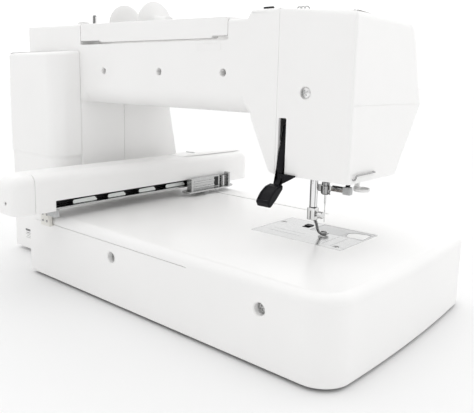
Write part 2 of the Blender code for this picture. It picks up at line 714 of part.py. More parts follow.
def make_handle():
    left, right = HANDLE_X
    pivot = ((left + right) / 2, HANDLE_PIVOT_Y, HANDLE_PIVOT_Z)
    grip = box("carrying_handle", HANDLE_X, (48, 57.6), (273.5, CASE_TOP), "white_shell", pivot)
    lean_top(grip)
    for name, x in (("handle_left_end", (left, left + 12)), ("handle_right_end", (right - 12, right))):
        join(grip, box(name, x, (35, 50), (277.5, 288.5)))


# ---------------------------------------------------------------- hoop carriage


def carriage_shell(name):
    """The whole length of the carriage's shell, hollow and open below."""
    x, y = CARRIAGE_X, CARRIAGE_Y
    shell = box(name, x, y, (CARRIAGE_BOTTOM, CARRIAGE_TOP), "white_shell")
    soften(shell, 9, 3, lambda middle, way: middle.z > CARRIAGE_TOP - 1 or abs(way.z) > 0.9)
    inside = (grow(x, -2.5), grow(y, -2.5), (CARRIAGE_BOTTOM - 10, CARRIAGE_TOP - 2.5))
    hollow = box("carriage_hollow", *inside)
    soften(hollow, 6.5, 2, lambda middle, way: middle.z > CARRIAGE_TOP - 4 or abs(way.z) > 0.9)
    cut(shell, hollow)
    return shell


def make_carriage():
    x, y = CARRIAGE_X, CARRIAGE_Y
    cover = carriage_shell("carriage_cover")
    mouth = box("carriage_slot", (x[0] - 5, x[0] + 12), CARRIAGE_SLOT_Y, (80, CARRIAGE_SLOT_TOP))
    cut(cover, mouth, box("behind_seam", grow(x, 5), (CARRIAGE_SEAM_Y, y[1] + 5), (80, 140)))
    end_cap = carriage_shell("carriage_cap_rear")
    cut(end_cap, box("ahead_of_seam", grow(x, 5), (y[0] - 5, CARRIAGE_SEAM_Y + GAP), (80, 140)))
    top = (CARRIAGE_TOP + GAP, CARRIAGE_TOP + 3)
    cap = box("carriage_cap_front", grow(x, -5), (-184, -55), top, "white_shell")
    soften(cap, 1.6, 2, lambda middle, way: middle.z > CARRIAGE_TOP + 2)
    rail = box("carriage_rail", (76.5, 112), (-174, 174), (89.4, 91.4), "satin_steel")
    lip = box("rail_lip", (74.5, 80), grow(CARRIAGE_SLOT_Y, -GAP), (89.4, 91.4))
    web = box("rail_web", (89, 91), (-172, 172), (90, 114))
    for i in range(6):
        centre = -120 + 48 * i
        cut(web, box(f"rail_hole_{i}", (80, 100), (centre - 14, centre + 14), (93.5, 99)))
    join(rail, lip, web, box("rail_post", (85, 105), (FRONT_SLOT_Y - 0.8, FRONT_SLOT_Y + 0.8), (52, 90)))
    bracket = box("carriage_bracket", (80, 112), (132.6, 139), (66, 89.1), "grey_plastic")
    join(bracket, box("bracket_tongue", (92, 106), (126, 134), (66.7, 68.1)))
    front, rear = CONNECTOR_Y
    flange = [(75, front - 9), (75, rear + 5), (66, rear + 8), (58, rear), (58, front + 6), (64, front - 9)]
    connector = prism("hoop_connector", flange, "z", (83, 85.2), "satin_steel", (68, rear, 90))
    join(
        connector,
        box("connector_wall", (68, 70.5), CONNECTOR_Y, (84, 101)),
        box("connector_rear_tab", (62, 70), (rear - 3, rear), (84, 102)),
        box("connector_front_tab", (62, 70), (front, front + 4), (84, 104)),
        box("connector_block", (69, 86), (front + 5, rear - 5), (92.4, 98.4)),
    )


# ---------------------------------------------------------------- controls


def make_controls():
    box("touch_screen", (160, 256), (CASE_FRONT - 2.5, CASE_FRONT + 3), (203, 283), "screen_glass")
    for name, x in zip(BUTTON_NAMES, BUTTON_PLACES):
        rod(name, (x, CASE_FRONT - 2.5, 220), 8, 6, "y", "grey_plastic", sides=24)
    box("power_inlet", (254, 267), (10, 37), (25, 45), "black_plastic")
    socket = box("inlet_socket", (257, 280), (14, 33), (29, 41))
    cut(bpy.data.objects["power_inlet"], socket)
    switch = [(256, 53.8), (266.8, 53.8), (268.6, 60), (270.4, 66.2), (256, 66.2)]
    prism("power_switch", switch, "y", (13, 34), "black_plastic", (260, 23.5, 60))


clear_scene()
PARTS = new_collection("embroidery_machine")
CUTTERS = new_collection("cutters")
make_bed()
make_needle_plate()
make_hook()
make_case()
make_frame()
make_drive()
make_needle_bar()
make_presser()
make_lifter()
make_head_levers()
make_top()
make_carriage()
make_controls()
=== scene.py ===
"""Embroidery machine: finished surfaces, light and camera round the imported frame.

Lengths are in millimetres in the frame's axes (+X to the column, +Y to the rear, +Z up) and MM turns
them into metres.
"""

import json
import math

import bmesh
import bpy
from mathutils import Matrix, Vector


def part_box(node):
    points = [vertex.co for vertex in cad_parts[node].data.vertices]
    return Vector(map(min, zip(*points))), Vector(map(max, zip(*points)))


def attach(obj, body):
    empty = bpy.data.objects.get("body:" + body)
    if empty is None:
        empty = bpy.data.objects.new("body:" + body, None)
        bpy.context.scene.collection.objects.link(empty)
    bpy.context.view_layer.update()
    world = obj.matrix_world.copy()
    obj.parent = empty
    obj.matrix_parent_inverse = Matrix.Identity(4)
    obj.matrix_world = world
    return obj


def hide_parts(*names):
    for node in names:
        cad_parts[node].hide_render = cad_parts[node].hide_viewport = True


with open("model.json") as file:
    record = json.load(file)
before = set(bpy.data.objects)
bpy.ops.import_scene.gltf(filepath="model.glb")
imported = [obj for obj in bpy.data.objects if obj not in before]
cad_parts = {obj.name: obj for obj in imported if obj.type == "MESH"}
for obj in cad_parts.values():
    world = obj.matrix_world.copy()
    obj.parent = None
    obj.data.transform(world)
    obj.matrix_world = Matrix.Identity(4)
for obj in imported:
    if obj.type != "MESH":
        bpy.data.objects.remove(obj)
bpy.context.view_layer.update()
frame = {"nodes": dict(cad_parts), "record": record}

MM = 0.001
WALL = 3.0  # thickness of the plastic shells
EDGE = 0.6  # the small rounding where two shells meet
SMOOTH_ANGLE = math.radians(32)


def span(node):
    """((x low, x high), (y low, y high), (z low, z high)) of a CAD node, in millimetres."""
    low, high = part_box(node)
    return tuple((low[i] / MM, high[i] / MM) for i in range(3))


def mid(pair):
    return (pair[0] + pair[1]) / 2


def grow(pair, by):
    return (pair[0] - by, pair[1] + by)


def about(middle, reach):
    return (middle - reach, middle + reach)


def quarter(steps):
    """(1 - cos, sin) of a quarter turn taken in equal steps, both ends included."""
    turns = [math.radians(90 * k / steps) for k in range(steps + 1)]
    return [(1 - math.cos(turn), math.sin(turn)) for turn in turns]


# ---------------------------------------------------------------- materials


def new_material(name):
    made = bpy.data.materials.new(name)
    made.use_nodes = True
    return made, made.node_tree.nodes, made.node_tree.links, made.node_tree.nodes["Principled BSDF"]


def noise(nodes, links, scale, detail=3.0, stretch=(1, 1, 1)):
    """A noise texture in object coordinates; scale is in features per metre."""
    place = nodes.new("ShaderNodeTexCoord")
    fit = nodes.new("ShaderNodeMapping")
    fit.inputs["Scale"].default_value = stretch
    made = nodes.new("ShaderNodeTexNoise")
    made.inputs["Scale"].default_value = scale
    made.inputs["Detail"].default_value = detail
    links.new(place.outputs["Object"], fit.inputs["Vector"])
    links.new(fit.outputs["Vector"], made.inputs["Vector"])
    return made


def ramp(nodes, links, source, low, high, ends=(0.35, 0.65)):
    """A colour ramp from low to high, driven by a noise texture."""
    made = nodes.new("ShaderNodeValToRGB")
    made.color_ramp.elements[0].position = ends[0]
    made.color_ramp.elements[1].position = ends[1]
    made.color_ramp.elements[0].color = low
    made.color_ramp.elements[1].color = high
    links.new(source.outputs["Fac"], made.inputs["Fac"])
    return made


def grey(value):
    return (value, value, value, 1.0)


def add_grain(nodes, links, shader, fine, roughness, depth, strength):
    """Drives the gloss and a fine relief from one noise texture."""
    gloss = ramp(nodes, links, fine, grey(roughness[0]), grey(roughness[1]))
    links.new(gloss.outputs["Color"], shader.inputs["Roughness"])
    relief = nodes.new("ShaderNodeBump")
    relief.inputs["Strength"].default_value = strength
    relief.inputs["Distance"].default_value = depth
    links.new(fine.outputs["Fac"], relief.inputs["Height"])
    links.new(relief.outputs["Normal"], shader.inputs["Normal"])


def surface(
    name,
    colour,
    variation=0.02,
    roughness=(0.3, 0.36),
    metallic=0.0,
    coat=0.0,
    blotch=14.0,
    grain=900.0,
    stretch=(1, 1, 1),
    depth=0.00002,
    strength=0.15,
    transmission=0.0,
    specular=0.5,
):
    """A Principled material whose colour, gloss and fine relief all vary over the surface."""
    made, nodes, links, shader = new_material(name)
    shader.inputs["Metallic"].default_value = metallic
    shader.inputs["Coat Weight"].default_value = coat
    shader.inputs["Coat Roughness"].default_value = 0.12
    shader.inputs["Transmission Weight"].default_value = transmission
    shader.inputs["Specular IOR Level"].default_value = specular
    low = tuple(max(0.0, c * (1 - variation)) for c in colour) + (1.0,)
    high = tuple(min(1.0, c * (1 + variation)) for c in colour) + (1.0,)
    patches = noise(nodes, links, blotch, 4.0)
    tint = ramp(nodes, links, patches, low, high, (0.3, 0.7))
    links.new(tint.outputs["Color"], shader.inputs["Base Color"])
    add_grain(nodes, links, shader, noise(nodes, links, grain, 2.0, stretch), roughness, depth, strength)
    return made


def metal_with_painted_reflection(name, bright, dark, across=(-0.75, -0.64, 0.1)):
    """Polished metal with painted reflections: the dark streaks of a studio's walls are painted into its colour
    down one side of each round, by the way the surface faces.
    """
    made, nodes, links, shader = new_material(name)
    shader.inputs["Metallic"].default_value = 1.0
    place = nodes.new("ShaderNodeTexCoord")
    along = nodes.new("ShaderNodeVectorMath")
    along.operation = "DOT_PRODUCT"
    along.inputs[1].default_value = across
    links.new(place.outputs["Normal"], along.inputs[0])
    spread = nodes.new("ShaderNodeMapRange")
    spread.inputs["From Min"].default_value = -1.0
    spread.inputs["From Max"].default_value = 1.0
    links.new(along.outputs["Value"], spread.inputs["Value"])
    # painted reflection: light and dark bands picked by the way each face points
    painted_reflection_bands = nodes.new("ShaderNodeValToRGB")
    reflection_stops = [(0.0, dark), (0.1, dark), (0.2, bright), (0.55, bright), (0.66, dark), (0.72, bright)]
    reflection_stops += [(0.86, bright), (0.93, dark), (1.0, dark)]
    painted_reflection_bands.color_ramp.elements[0].position = reflection_stops[0][0]
    painted_reflection_bands.color_ramp.elements[0].color = grey(reflection_stops[0][1])
    painted_reflection_bands.color_ramp.elements[1].position = reflection_stops[-1][0]
    painted_reflection_bands.color_ramp.elements[1].color = grey(reflection_stops[-1][1])
    for position, value in reflection_stops[1:-1]:
        painted_reflection_bands.color_ramp.elements.new(position).color = grey(value)
    links.new(spread.outputs["Result"], painted_reflection_bands.inputs["Fac"])
    links.new(painted_reflection_bands.outputs["Color"], shader.inputs["Base Color"])
    add_grain(nodes, links, shader, noise(nodes, links, 500, 2.0), (0.1, 0.2), 0.00002, 0.1)
    return made


LOOKS = {
    "white_shell": surface("shell_white", (0.925, 0.921, 0.914), 0.008, (0.3, 0.38), coat=0.15),
    "worn_metal": surface(
        "metal_worn", (0.3, 0.275, 0.255), 0.5, (0.2, 0.4), 0.8, blotch=420, grain=1500, depth=0.0001,
        strength=0.4,
    ),
    "smoked_plastic": surface("plastic_smoked", (0.44, 0.445, 0.445), 0.02, (0.12, 0.2), coat=0.3),
    "pale_glass": surface("rail_pale", (0.84, 0.87, 0.85), 0.03, (0.15, 0.25), coat=0.4),
    "ivory_shell": surface("shell_ivory", (0.85, 0.835, 0.79), 0.012, (0.32, 0.4), coat=0.1),
    "satin_steel": surface(
        "steel_satin", (0.5, 0.502, 0.5), 0.03, (0.2, 0.3), 1.0, grain=700, stretch=(0.04, 1.4, 1)
    ),
    "cast_metal": surface(
        "metal_cast", (0.5, 0.51, 0.52), 0.08, (0.42, 0.58), 1.0, grain=1400, depth=0.0001, strength=0.4
    ),
    "black_plastic": surface(
        "plastic_black", (0.008, 0.008, 0.01), 0.25, (0.3, 0.4), grain=1600, depth=0.00003, strength=0.2,
        specular=0.12,
    ),
    # painted shade: near-black for sheets set behind openings, where there is only shade
    "dark_void": surface("painted_shade_black", (0.012, 0.012, 0.012), 0.3, (0.5, 0.65), grain=1200),
    "grey_plastic": surface("plastic_grey", (0.56, 0.57, 0.57), 0.02, (0.32, 0.42), grain=1400),
    "clear_plastic": surface(
        "plastic_clear", (0.84, 0.85, 0.85), 0.01, (0.06, 0.12), coat=0.2, transmission=0.12
    ),
    "screen_glass": surface("glass_screen", (0.02, 0.024, 0.032), 0.1, (0.05, 0.09), coat=0.8),
    "rubber": surface(
        "rubber_black", (0.045, 0.045, 0.045), 0.15, (0.7, 0.85), grain=1800, depth=0.0001, strength=0.4
    ),
    "mark_grey": surface("ink_grey", (0.2, 0.2, 0.2), 0.1, (0.45, 0.55), grain=1500),
    # both metals carry painted reflection bands in their colour
    "chrome": metal_with_painted_reflection("steel_polished_painted_reflection", 0.86, 0.2),
    "dark_steel": metal_with_painted_reflection("steel_dark_painted_reflection", 0.42, 0.05),
}


# ---------------------------------------------------------------- modelling tools


def as_object(name, form):
    """An object from a bmesh drawn in millimetres."""
    bmesh.ops.recalc_face_normals(form, faces=form.faces)
    if form.calc_volume(signed=True) < 0:
        bmesh.ops.reverse_faces(form, faces=form.faces)
    form.transform(Matrix.Scale(MM, 4))
    mesh = bpy.data.meshes.new(name)
    form.to_mesh(mesh)
    form.free()
    made = bpy.data.objects.new(name, mesh)
    bpy.context.scene.collection.objects.link(made)
    return made


def loft(name, rings):
    """Skins closed rings that have equal point counts, and caps both ends."""
    form = bmesh.new()
    layers = [[form.verts.new(point) for point in ring] for ring in rings]
    count = len(rings[0])
    for low, high in zip(layers, layers[1:]):
        for i in range(count):
            j = (i + 1) % count
            form.faces.new((low[i], low[j], high[j], high[i]))
    form.faces.new(layers[0][::-1])
    form.faces.new(layers[-1])
    bmesh.ops.remove_doubles(form, verts=form.verts, dist=1e-4)
    return as_object(name, form)


def rounded(corners, steps=6):
    """A closed outline from (a, b, radius) corners, each radius drawn as an arc."""
    outline = []
    count = len(corners)
    for i, (a, b, radius) in enumerate(corners):
        here = Vector((a, b))
        if radius <= 0:
            outline.append((a, b))
            continue
        back = (Vector(corners[i - 1][:2]) - here).normalized()
        ahead = (Vector(corners[(i + 1) % count][:2]) - here).normalized()
        half = back.angle(ahead) / 2
        centre = here + (back + ahead).normalized() * radius / math.sin(half)
        first = here + back * radius / math.tan(half) - centre
        last = here + ahead * radius / math.tan(half) - centre
        turn = math.atan2(first.x * last.y - first.y * last.x, first.dot(last))
        for k in range(steps + 1):
            c, s = math.cos(turn * k / steps), math.sin(turn * k / steps)
            outline.append((centre.x + first.x * c - first.y * s, centre.y + first.x * s + first.y * c))
    return outline


def rectangle(a, b, radius=0.0):
    return [(a[0], b[0], radius), (a[1], b[0], radius), (a[1], b[1], radius), (a[0], b[1], radius)]


def rounded_box(a, b, radius, steps):
    return rounded(rectangle(a, b, radius), steps)


def dense(outline, step):
    """The outline with points added, so that no side is longer than step."""
    points = []
    for (a, b), (c, d) in zip(outline, outline[1:] + outline[:1]):
        parts = max(1, math.ceil(math.hypot(c - a, d - b) / step))
        points += [(a + (c - a) * k / parts, b + (d - b) * k / parts) for k in range(parts)]
    return points


def inset_ways(outline):
    """For each point, the move that takes both its sides in by one millimetre."""
    area = sum(a * d - c * b for (a, b), (c, d) in zip(outline, outline[1:] + outline[:1]))
    sign = 1 if area > 0 else -1
    sides = []
    for (a, b), (c, d) in zip(outline, outline[1:] + outline[:1]):
        way = Vector((c - a, d - b)).normalized()
        sides.append(Vector((-way.y, way.x)) * sign)
    ways = []
    for i, after in enumerate(sides):
        before = sides[i - 1]
        ways.append((before + after) / max(0.4, 1 + before.dot(after)))
    return ways


LIFT = {
    "x": lambda a, b, depth: (depth, a, b),
    "y": lambda a, b, depth: (a, depth, b),
    "z": lambda a, b, depth: (a, b, depth),
}


def slab(name, outline, axis, ends, low=EDGE, high=EDGE, steps=4):
    """An outline pushed along an axis, with rounded rims.

    The outline's points are (y, z) for axis x, (x, z) for y and (x, y) for z. low and high are the rims'
    radii, each a number or a function of a point.
    """
    low_of = low if callable(low) else lambda a, b: low
    high_of = high if callable(high) else lambda a, b: high
    ways = inset_ways(outline)
    rings = []
    for end, radius_of, inward in ((ends[0], low_of, 1), (ends[1], high_of, -1)):
        rim = []
        for draw, reach in quarter(steps):
            ring = []
            for (a, b), way in zip(outline, ways):
                radius = radius_of(a, b)
                inset = radius * (1 - reach)
                ring.append(LIFT[axis](a + way.x * inset, b + way.y * inset, end + inward * radius * draw))
            rim.append(ring)
        rings += rim if inward > 0 else rim[::-1]
    return loft(name, rings)


def block(name, x, y, z, radius=0.8, rim=None, steps=3):
    """A box with every edge rounded."""
    rim = radius if rim is None else rim
    outline = rounded_box(x, y, radius, steps) if radius else [c[:2] for c in rectangle(x, y)]
    return slab(name, outline, "z", z, rim, rim, steps)


def prism(name, outline, axis, ends):
    """A slab with sharp rims, mostly for cutting."""
    return slab(name, outline, axis, ends, 0, 0, 1)


def sharp_box(name, x, y, z):
    return prism(name, [c[:2] for c in rectangle(x, y)], "z", z)


AXIS_TURN = {
    "x": Matrix.Rotation(math.radians(90), 4, "Y"),
    "y": Matrix.Rotation(math.radians(-90), 4, "X"),
    "z": Matrix.Identity(4),
}


def circle(sides):
    """(cos, sin) of equal turns all the way round."""
    return [(math.cos(math.tau * k / sides), math.sin(math.tau * k / sides)) for k in range(sides)]


def turned(name, profile, centre, axis="z", sides=64):
    """A profile of (radius, height) points, spun about an axis through centre."""
    turn = Matrix.Translation(Vector(centre)) @ AXIS_TURN[axis]
    profile = [(max(radius, 0.02), height) for radius, height in profile]
    return loft(name, [[turn @ Vector((r * c, r * s, h)) for c, s in circle(sides)] for r, h in profile])


def hollow_turned(name, profile, centre, axis="z", sides=64):
    """A closed profile of (radius, height) points that leaves its middle open, spun about an axis."""
    form = bmesh.new()
    turn = Matrix.Translation(Vector(centre)) @ AXIS_TURN[axis]
    columns = []
    for c, s in circle(sides):
        columns.append([form.verts.new(turn @ Vector((r * c, r * s, h))) for r, h in profile])
    for column, following in zip(columns, columns[1:] + columns[:1]):
        for i in range(len(profile)):
            j = (i + 1) % len(profile)
            form.faces.new((column[i], column[j], following[j], following[i]))
    return as_object(name, form)


def smooth_path(points, steps=6):
    """A Catmull-Rom curve through the points."""
    points = [Vector(p) for p in points]
    padded = [points[0] * 2 - points[1]] + points + [points[-1] * 2 - points[-2]]
    path = []
    for p0, p1, p2, p3 in zip(padded, padded[1:], padded[2:], padded[3:]):
        for k in range(steps):
            t = k / steps
            path.append(
                0.5 * (2 * p1 + (p2 - p0) * t + (2 * p0 - 5 * p1 + 4 * p2 - p3) * t**2
                       + (3 * p1 - p0 - 3 * p2 + p3) * t**3)
            )
    return path + [points[-1]]


def wire(name, points, radius, sides=14, taper=1.0):
    """A round wire along a smooth path; taper is the end's share of the radius."""
    path = smooth_path(points)
    rings = []
    normal = None
    for i, point in enumerate(path):
        way = (path[min(i + 1, len(path) - 1)] - path[max(i - 1, 0)]).normalized()
        if normal is None:
            normal = way.orthogonal().normalized()
        normal = (normal - way * normal.dot(way)).normalized()
        across = way.cross(normal)
        size = radius * (1 + (taper - 1) * i / (len(path) - 1))
        rings.append([point + (normal * c + across * s) * size for c, s in circle(sides)])
    return loft(name, rings)


def apply_boolean(obj, others, operation):
    for other in others:
        step = obj.modifiers.new("boolean", "BOOLEAN")
        step.operation = operation
        step.object = other
    bpy.context.view_layer.update()
    graph = bpy.context.evaluated_depsgraph_get()
    mesh = bpy.data.meshes.new_from_object(obj.evaluated_get(graph))
    obj.modifiers.clear()
    obj.data = mesh
    for other in others:
        bpy.data.objects.remove(other, do_unlink=True)
    return obj


def cut(obj, *others):
    return apply_boolean(obj, others, "DIFFERENCE")


def join(obj, *others):
    return apply_boolean(obj, others, "UNION")


def together(obj, *others):
    """Puts the parts' meshes in one piece as they are; they overlap a little where they meet."""
    form = bmesh.new()
    for part in (obj, *others):
        form.from_mesh(part.data)
    form.to_mesh(obj.data)
    form.free()
    for other in others:
        bpy.data.objects.remove(other, do_unlink=True)
    return obj


def finish_piece(obj, body, look, replaces=()):
    """Shades a piece, gives it its material and hands it to the frame."""
    mesh = obj.data
    mesh.materials.clear()
    mesh.materials.append(LOOKS[look])
    for face in mesh.polygons:
        face.material_index = 0
    mesh.shade_smooth()
    mesh.set_sharp_from_angle(angle=SMOOTH_ANGLE)
    even = obj.modifiers.new("even_normals", "WEIGHTED_NORMAL")
    even.keep_sharp = True
    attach(obj, body)
    if replaces:
        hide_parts(*replaces)
    return obj


def stand_for(obj, node, look="white_shell"):
    """Finishes a piece that takes the place of the CAD node it is modelled on."""
    body = next(b for b, nodes in frame["record"]["behaviour"]["bodies"].items() if node in nodes)
    return finish_piece(obj, body, look, (node,))


def aim(obj, place, way, spin=0.0):
    """Turns a piece drawn upright at the origin to point along way, with its origin at place."""
    turn = Vector((0, 0, 1)).rotation_difference(Vector(way)).to_matrix().to_4x4()
    spun = Matrix.Rotation(math.radians(spin), 4, "Z")
    obj.data.transform(Matrix.Translation(Vector(place) * MM) @ turn @ spun)
    return obj


def screw_well(x, y, z, radius, depth, way=(0, 1, 0)):
    """A cutter for a screw's well, with a softened mouth."""
    lip, outside = 0.5, 2.0
    profile = [(radius, -depth), (radius, -lip), (radius + lip, 0), (radius + lip, outside)]
    return aim(turned("well", profile, (0, 0, 0), "z", 40), (x, y, z), way)


def screw_head(name, centre, radius, way, body, look="satin_steel", height=1.8, spin=20):
    """A domed screw head with a cross recess, its top at centre."""
    shoulder = height * 0.45
    dome = [(radius * 0.96, -height), (radius, -height + 0.2), (radius, -shoulder)]
    for angle in map(math.radians, (20, 40, 60, 78)):
        dome.append((radius * math.cos(angle), -shoulder * (1 - math.sin(angle))))
    head = turned(name, dome, (0, 0, 0), "z", 40)
    arm, blade = radius * 0.62, radius * 0.13
    deep = (-height * 0.6, 1.0)
    cut(head, sharp_box("slot", (-arm, arm), (-blade, blade), deep))
    cut(head, sharp_box("slot", (-blade, blade), (-arm, arm), deep))
    return finish_piece(aim(head, centre, way, spin), body, look)


# ---------------------------------------------------------------- bed

BED_X, BED_Y, BED_Z = span("bed_cover")
BED_TOP = BED_Z[1]
BED_CORNER, BED_RIM = 28.0, 9.0  # radii in plan and of the top edge
BED_BOW = 5.0  # the free end's bow, measured to the corners' centres
SLOT_HALF = 1.2  # half the width of the carriage's slot
FRONT_SLOT_X, FRONT_SLOT_Y = (-121.5, 128.0), -104.0
GROOVE_X, GROOVE_Z = (-118.5, 132.0), (67.1, 67.6)
BED_SCREWS = ((-9.5, 52.0), (-202.6, 52.0))
PLATE_X, PLATE_Y, PLATE_Z = span("needle_plate")
COVER_X, COVER_Y, COVER_Z = span("hook_cover")


def bed_outline(inset=0.0):
    """Plan of the bed: square at the column, rounded and slightly bowed at its free end."""
    left, right = BED_X[0] + inset, BED_X[1] - inset
    front, rear = BED_Y[0] + inset, BED_Y[1] - inset
    radius, bow = BED_CORNER - inset, BED_BOW * 0.7
    steps = 10
    corners = [(right, front, 0), (right, rear, 0), (left + bow, rear, radius), (left + bow, front, radius)]
    outline = rounded(corners, steps)
    middle, reach = mid((front, rear)), (rear - front) / 2 - radius
    side = [(left + bow * k * k / steps**2, middle - reach * k / steps) for k in range(1 - steps, steps)]
    first_arc = 2 + steps + 1
    return outline[:first_arc] + side + outline[first_arc:]


def bed_rim(x, y):
    return BED_RIM if x < BED_X[1] - 1 else EDGE


def make_bed():
    shell = slab("bed_shell", dense(bed_outline(), 14), "z", BED_Z, 1.5, bed_rim, 7)
    hollow = prism("hollow", bed_outline(WALL), "z", (BED_Z[0] - 5, BED_TOP - WALL))
    gap = 0.3
    window = rounded_box(grow(PLATE_X, gap), grow(PLATE_Y, gap), 1.5, 3)
    slot_end = rectangle(FRONT_SLOT_X, about(FRONT_SLOT_Y, SLOT_HALF), SLOT_HALF * 0.98)
    cut(
        shell,
        hollow,
        prism("window", window, "z", (60, BED_TOP + 2)),
        prism("front_slot", rounded(slot_end, 5), "z", (60, BED_TOP + 2)),
        sharp_box("rear_groove", GROOVE_X, (BED_Y[1] - 8, BED_Y[1] + 8), GROOVE_Z),
        sharp_box("to_column", (138, 150), (-112, 54), (-5, 70)),
    )
    cut(shell, *[screw_well(x, BED_Y[1], z, 6.0, 6.5) for x, z in BED_SCREWS])
    stand_for(shell, "bed_cover")
    for i, (x, z) in enumerate(BED_SCREWS):
        profile = [(5.2, -7.0), (6.4, -7.0), (6.4, -1.2), (6.0, -0.6), (5.6, -1.0), (5.2, -5.8)]
        cup = hollow_turned(f"bed_screw_cup_{i}", profile, (x, BED_Y[1], z), "y", 48)
        finish_piece(cup, "machine", "white_shell")
        screw_head(f"bed_screw_{i}", (x, BED_Y[1] - 4.6, z), 4.6, (0, 1, 0), "machine")


def make_needle_plate():
    outline = rounded_box(PLATE_X, PLATE_Y, 1.4, 4)
    plate = slab("needle_plate_top", outline, "z", PLATE_Z, 0.2, 0.25, 2)
    deep = (PLATE_Z[0] - 4, PLATE_Z[1] + 4)  # heights that cut right through the plate
    scored = (BED_TOP - 0.25, BED_TOP + 2)  # heights that only score its top
    hole = Vector((mid(span("needle")[0]), mid(span("needle")[1])))
    slot = rounded_box(about(hole.x, 3.5), about(hole.y, 1.6), 1.5, 5)
    cover = rounded_box(grow(COVER_X, 0.3), (-70, COVER_Y[1] + 0.3), 1.2, 4)
    button = rectangle((-140.2, -131.4), (-41.6, -31.2), 0.8)
    cut(
        plate,
        prism("cover_window", cover, "z", deep),
        prism("needle_slot", slot, "z", deep),
        prism("button_window", rounded(button, 3), "z", deep),
    )
    marks = [sharp_box("mark", (-152, -112), about(y, 0.18), scored) for y in (-8.0, 2.0)]
    marks += [sharp_box("mark", about(x, 0.18), (-24, 10), scored) for x in (-183.0, -193.0)]
    cut(plate, *marks)
    screws = ((-105.0, -35.0), (-199.0, 10.0))
    cut(plate, *[screw_well(x, y, BED_TOP, 3.2, 1.2, (0, 0, 1)) for x, y in screws])
    stand_for(plate, "needle_plate", "satin_steel")
    for i, (x, y) in enumerate(screws):
        screw_head(f"plate_screw_{i}", (x, y, BED_TOP - 0.1), 3.0, (0, 0, 1), "machine", "satin_steel", 1.0, 35)
    lid = slab("hook_lid", rounded_box(COVER_X, COVER_Y, 1.6, 4), "z", COVER_Z, 0.2, 0.3, 2)
    notch = [(-206, -30.5, 2), (-186, -28.4, 6), (-182.8, -43, 5), (-190, -50.5, 6), (-205, -53, 3)]
    cut(lid, prism("notch", rounded(notch, 7), "z", (BED_TOP - 0.45, BED_TOP + 2)))
    scored = (BED_TOP - 0.3, BED_TOP + 2)
    cut(
        lid,
        sharp_box("line", (-180, -166), (-46.9, -46.5), scored),
        sharp_box("line", (-182.6, -182.2), (-44, -28), scored),
    )
    stand_for(lid, "hook_cover", "smoked_plastic")
    smaller = rounded([(x * 0.96 - 7.8, y * 0.9 - 4.2, r) for x, y, r in notch], 7)
    grip = slab("hook_lid_grip", smaller, "z", (BED_TOP - 0.6, BED_TOP - 0.25), 0.1, 0.1, 1)
    finish_piece(grip, "hook_lid", "white_shell")
    latch_x, latch_y, latch_z = span("hook_cover_button")
    latch = block("lid_latch", latch_x, latch_y, latch_z, 0.9, 0.4)
    ridges = [sharp_box("ridge", about(latch_x[0] + 2 + 2 * k, 0.3), grow(latch_y, -1.2),
                        (latch_z[1] - 0.4, latch_z[1] + 1)) for k in range(3)]
    cut(latch, *ridges)
    stand_for(latch, "hook_cover_button", "black_plastic")


# ---------------------------------------------------------------- column, arm and head

REAR_X, REAR_Y, REAR_Z = span("rear_cover")
FRONT_Y = span("front_cover")[1]
FACE_X, FACE_Y, FACE_Z = span("face_cover")
HANDLE_X, HANDLE_Y, HANDLE_Z = span("carrying_handle")
SEAM = REAR_X[0]
CASE_RIGHT, CASE_TOP = REAR_X[1], 297.5
TOP_FALL = 0.0111  # the top line falls this much per millimetre towards the head
LID_LEFT, DIP_TOP = -98.0, 290.8
STEP_X, STEP_TOP = -120.0, 298.0
COLUMN_LEFT = span("rear_housing")[0][0]
HEAD_BOTTOM = FACE_Z[0]
HEAD_RIGHT = -126.0
ARM_BOTTOM, ARM_FRONT = 202.0, -94.0
ARM_FILLET, COLUMN_EDGE, TOP_EDGE = 20.0, 4.0, 3.0  # radii of the rear rims
COLUMN_BEND = 190.0  # below this height the column's front leans forward
CASE_LEAN_FROM = 280.0  # only what lies above this height follows the sloping top line
LID_HOLE_X, LID_HOLE_Z = (LID_LEFT + 0.2, 258), (CASE_LEAN_FROM, 305)
FOOT_HOLE_X, FOOT_HOLE_Z = (140, 152), (-5, 70)  # where the bed passes into the column
ARM_SCREWS = ((98.0, 240.5), (1.0, 240.5), (-91.5, 240.5))


def top_at(x):
    """Height of the case's top line."""
    return CASE_TOP - TOP_FALL * (CASE_RIGHT - x)


def lean_top(obj):
    """Leans the upper part of a piece to follow the top line."""
    for vertex in obj.data.vertices:
        if vertex.co.z > CASE_LEAN_FROM * MM:
            vertex.co.z -= TOP_FALL * (CASE_RIGHT * MM - vertex.co.x)
    return obj


def case_outline(inset=0.0):
    """Side profile (x, z) of the column, the arm and the neck of the head."""
    corner = max(0.0, 8.0 - inset)
    step = 0.0 if inset else 2.5
    return rounded(
        [
            (CASE_RIGHT - inset, REAR_Z[0], 0),
            (CASE_RIGHT - inset, CASE_TOP - inset, 0),
            (LID_LEFT, top_at(LID_LEFT) - inset, 0),
            (LID_LEFT - 0.4, DIP_TOP - inset, 0),
            (STEP_X - inset, DIP_TOP - inset, step),
            (STEP_X - 5 - inset, STEP_TOP - inset, step),
            (SEAM, STEP_TOP - inset, 0),
            (SEAM, HEAD_BOTTOM + inset, 0),
            (HEAD_RIGHT - 25.4 - inset, HEAD_BOTTOM + inset, corner),
            (HEAD_RIGHT - inset, ARM_BOTTOM + inset, 0.0),
            (COLUMN_LEFT + inset, ARM_BOTTOM + inset, 0),
            (COLUMN_LEFT + inset, REAR_Z[0], 0),
        ]
    )


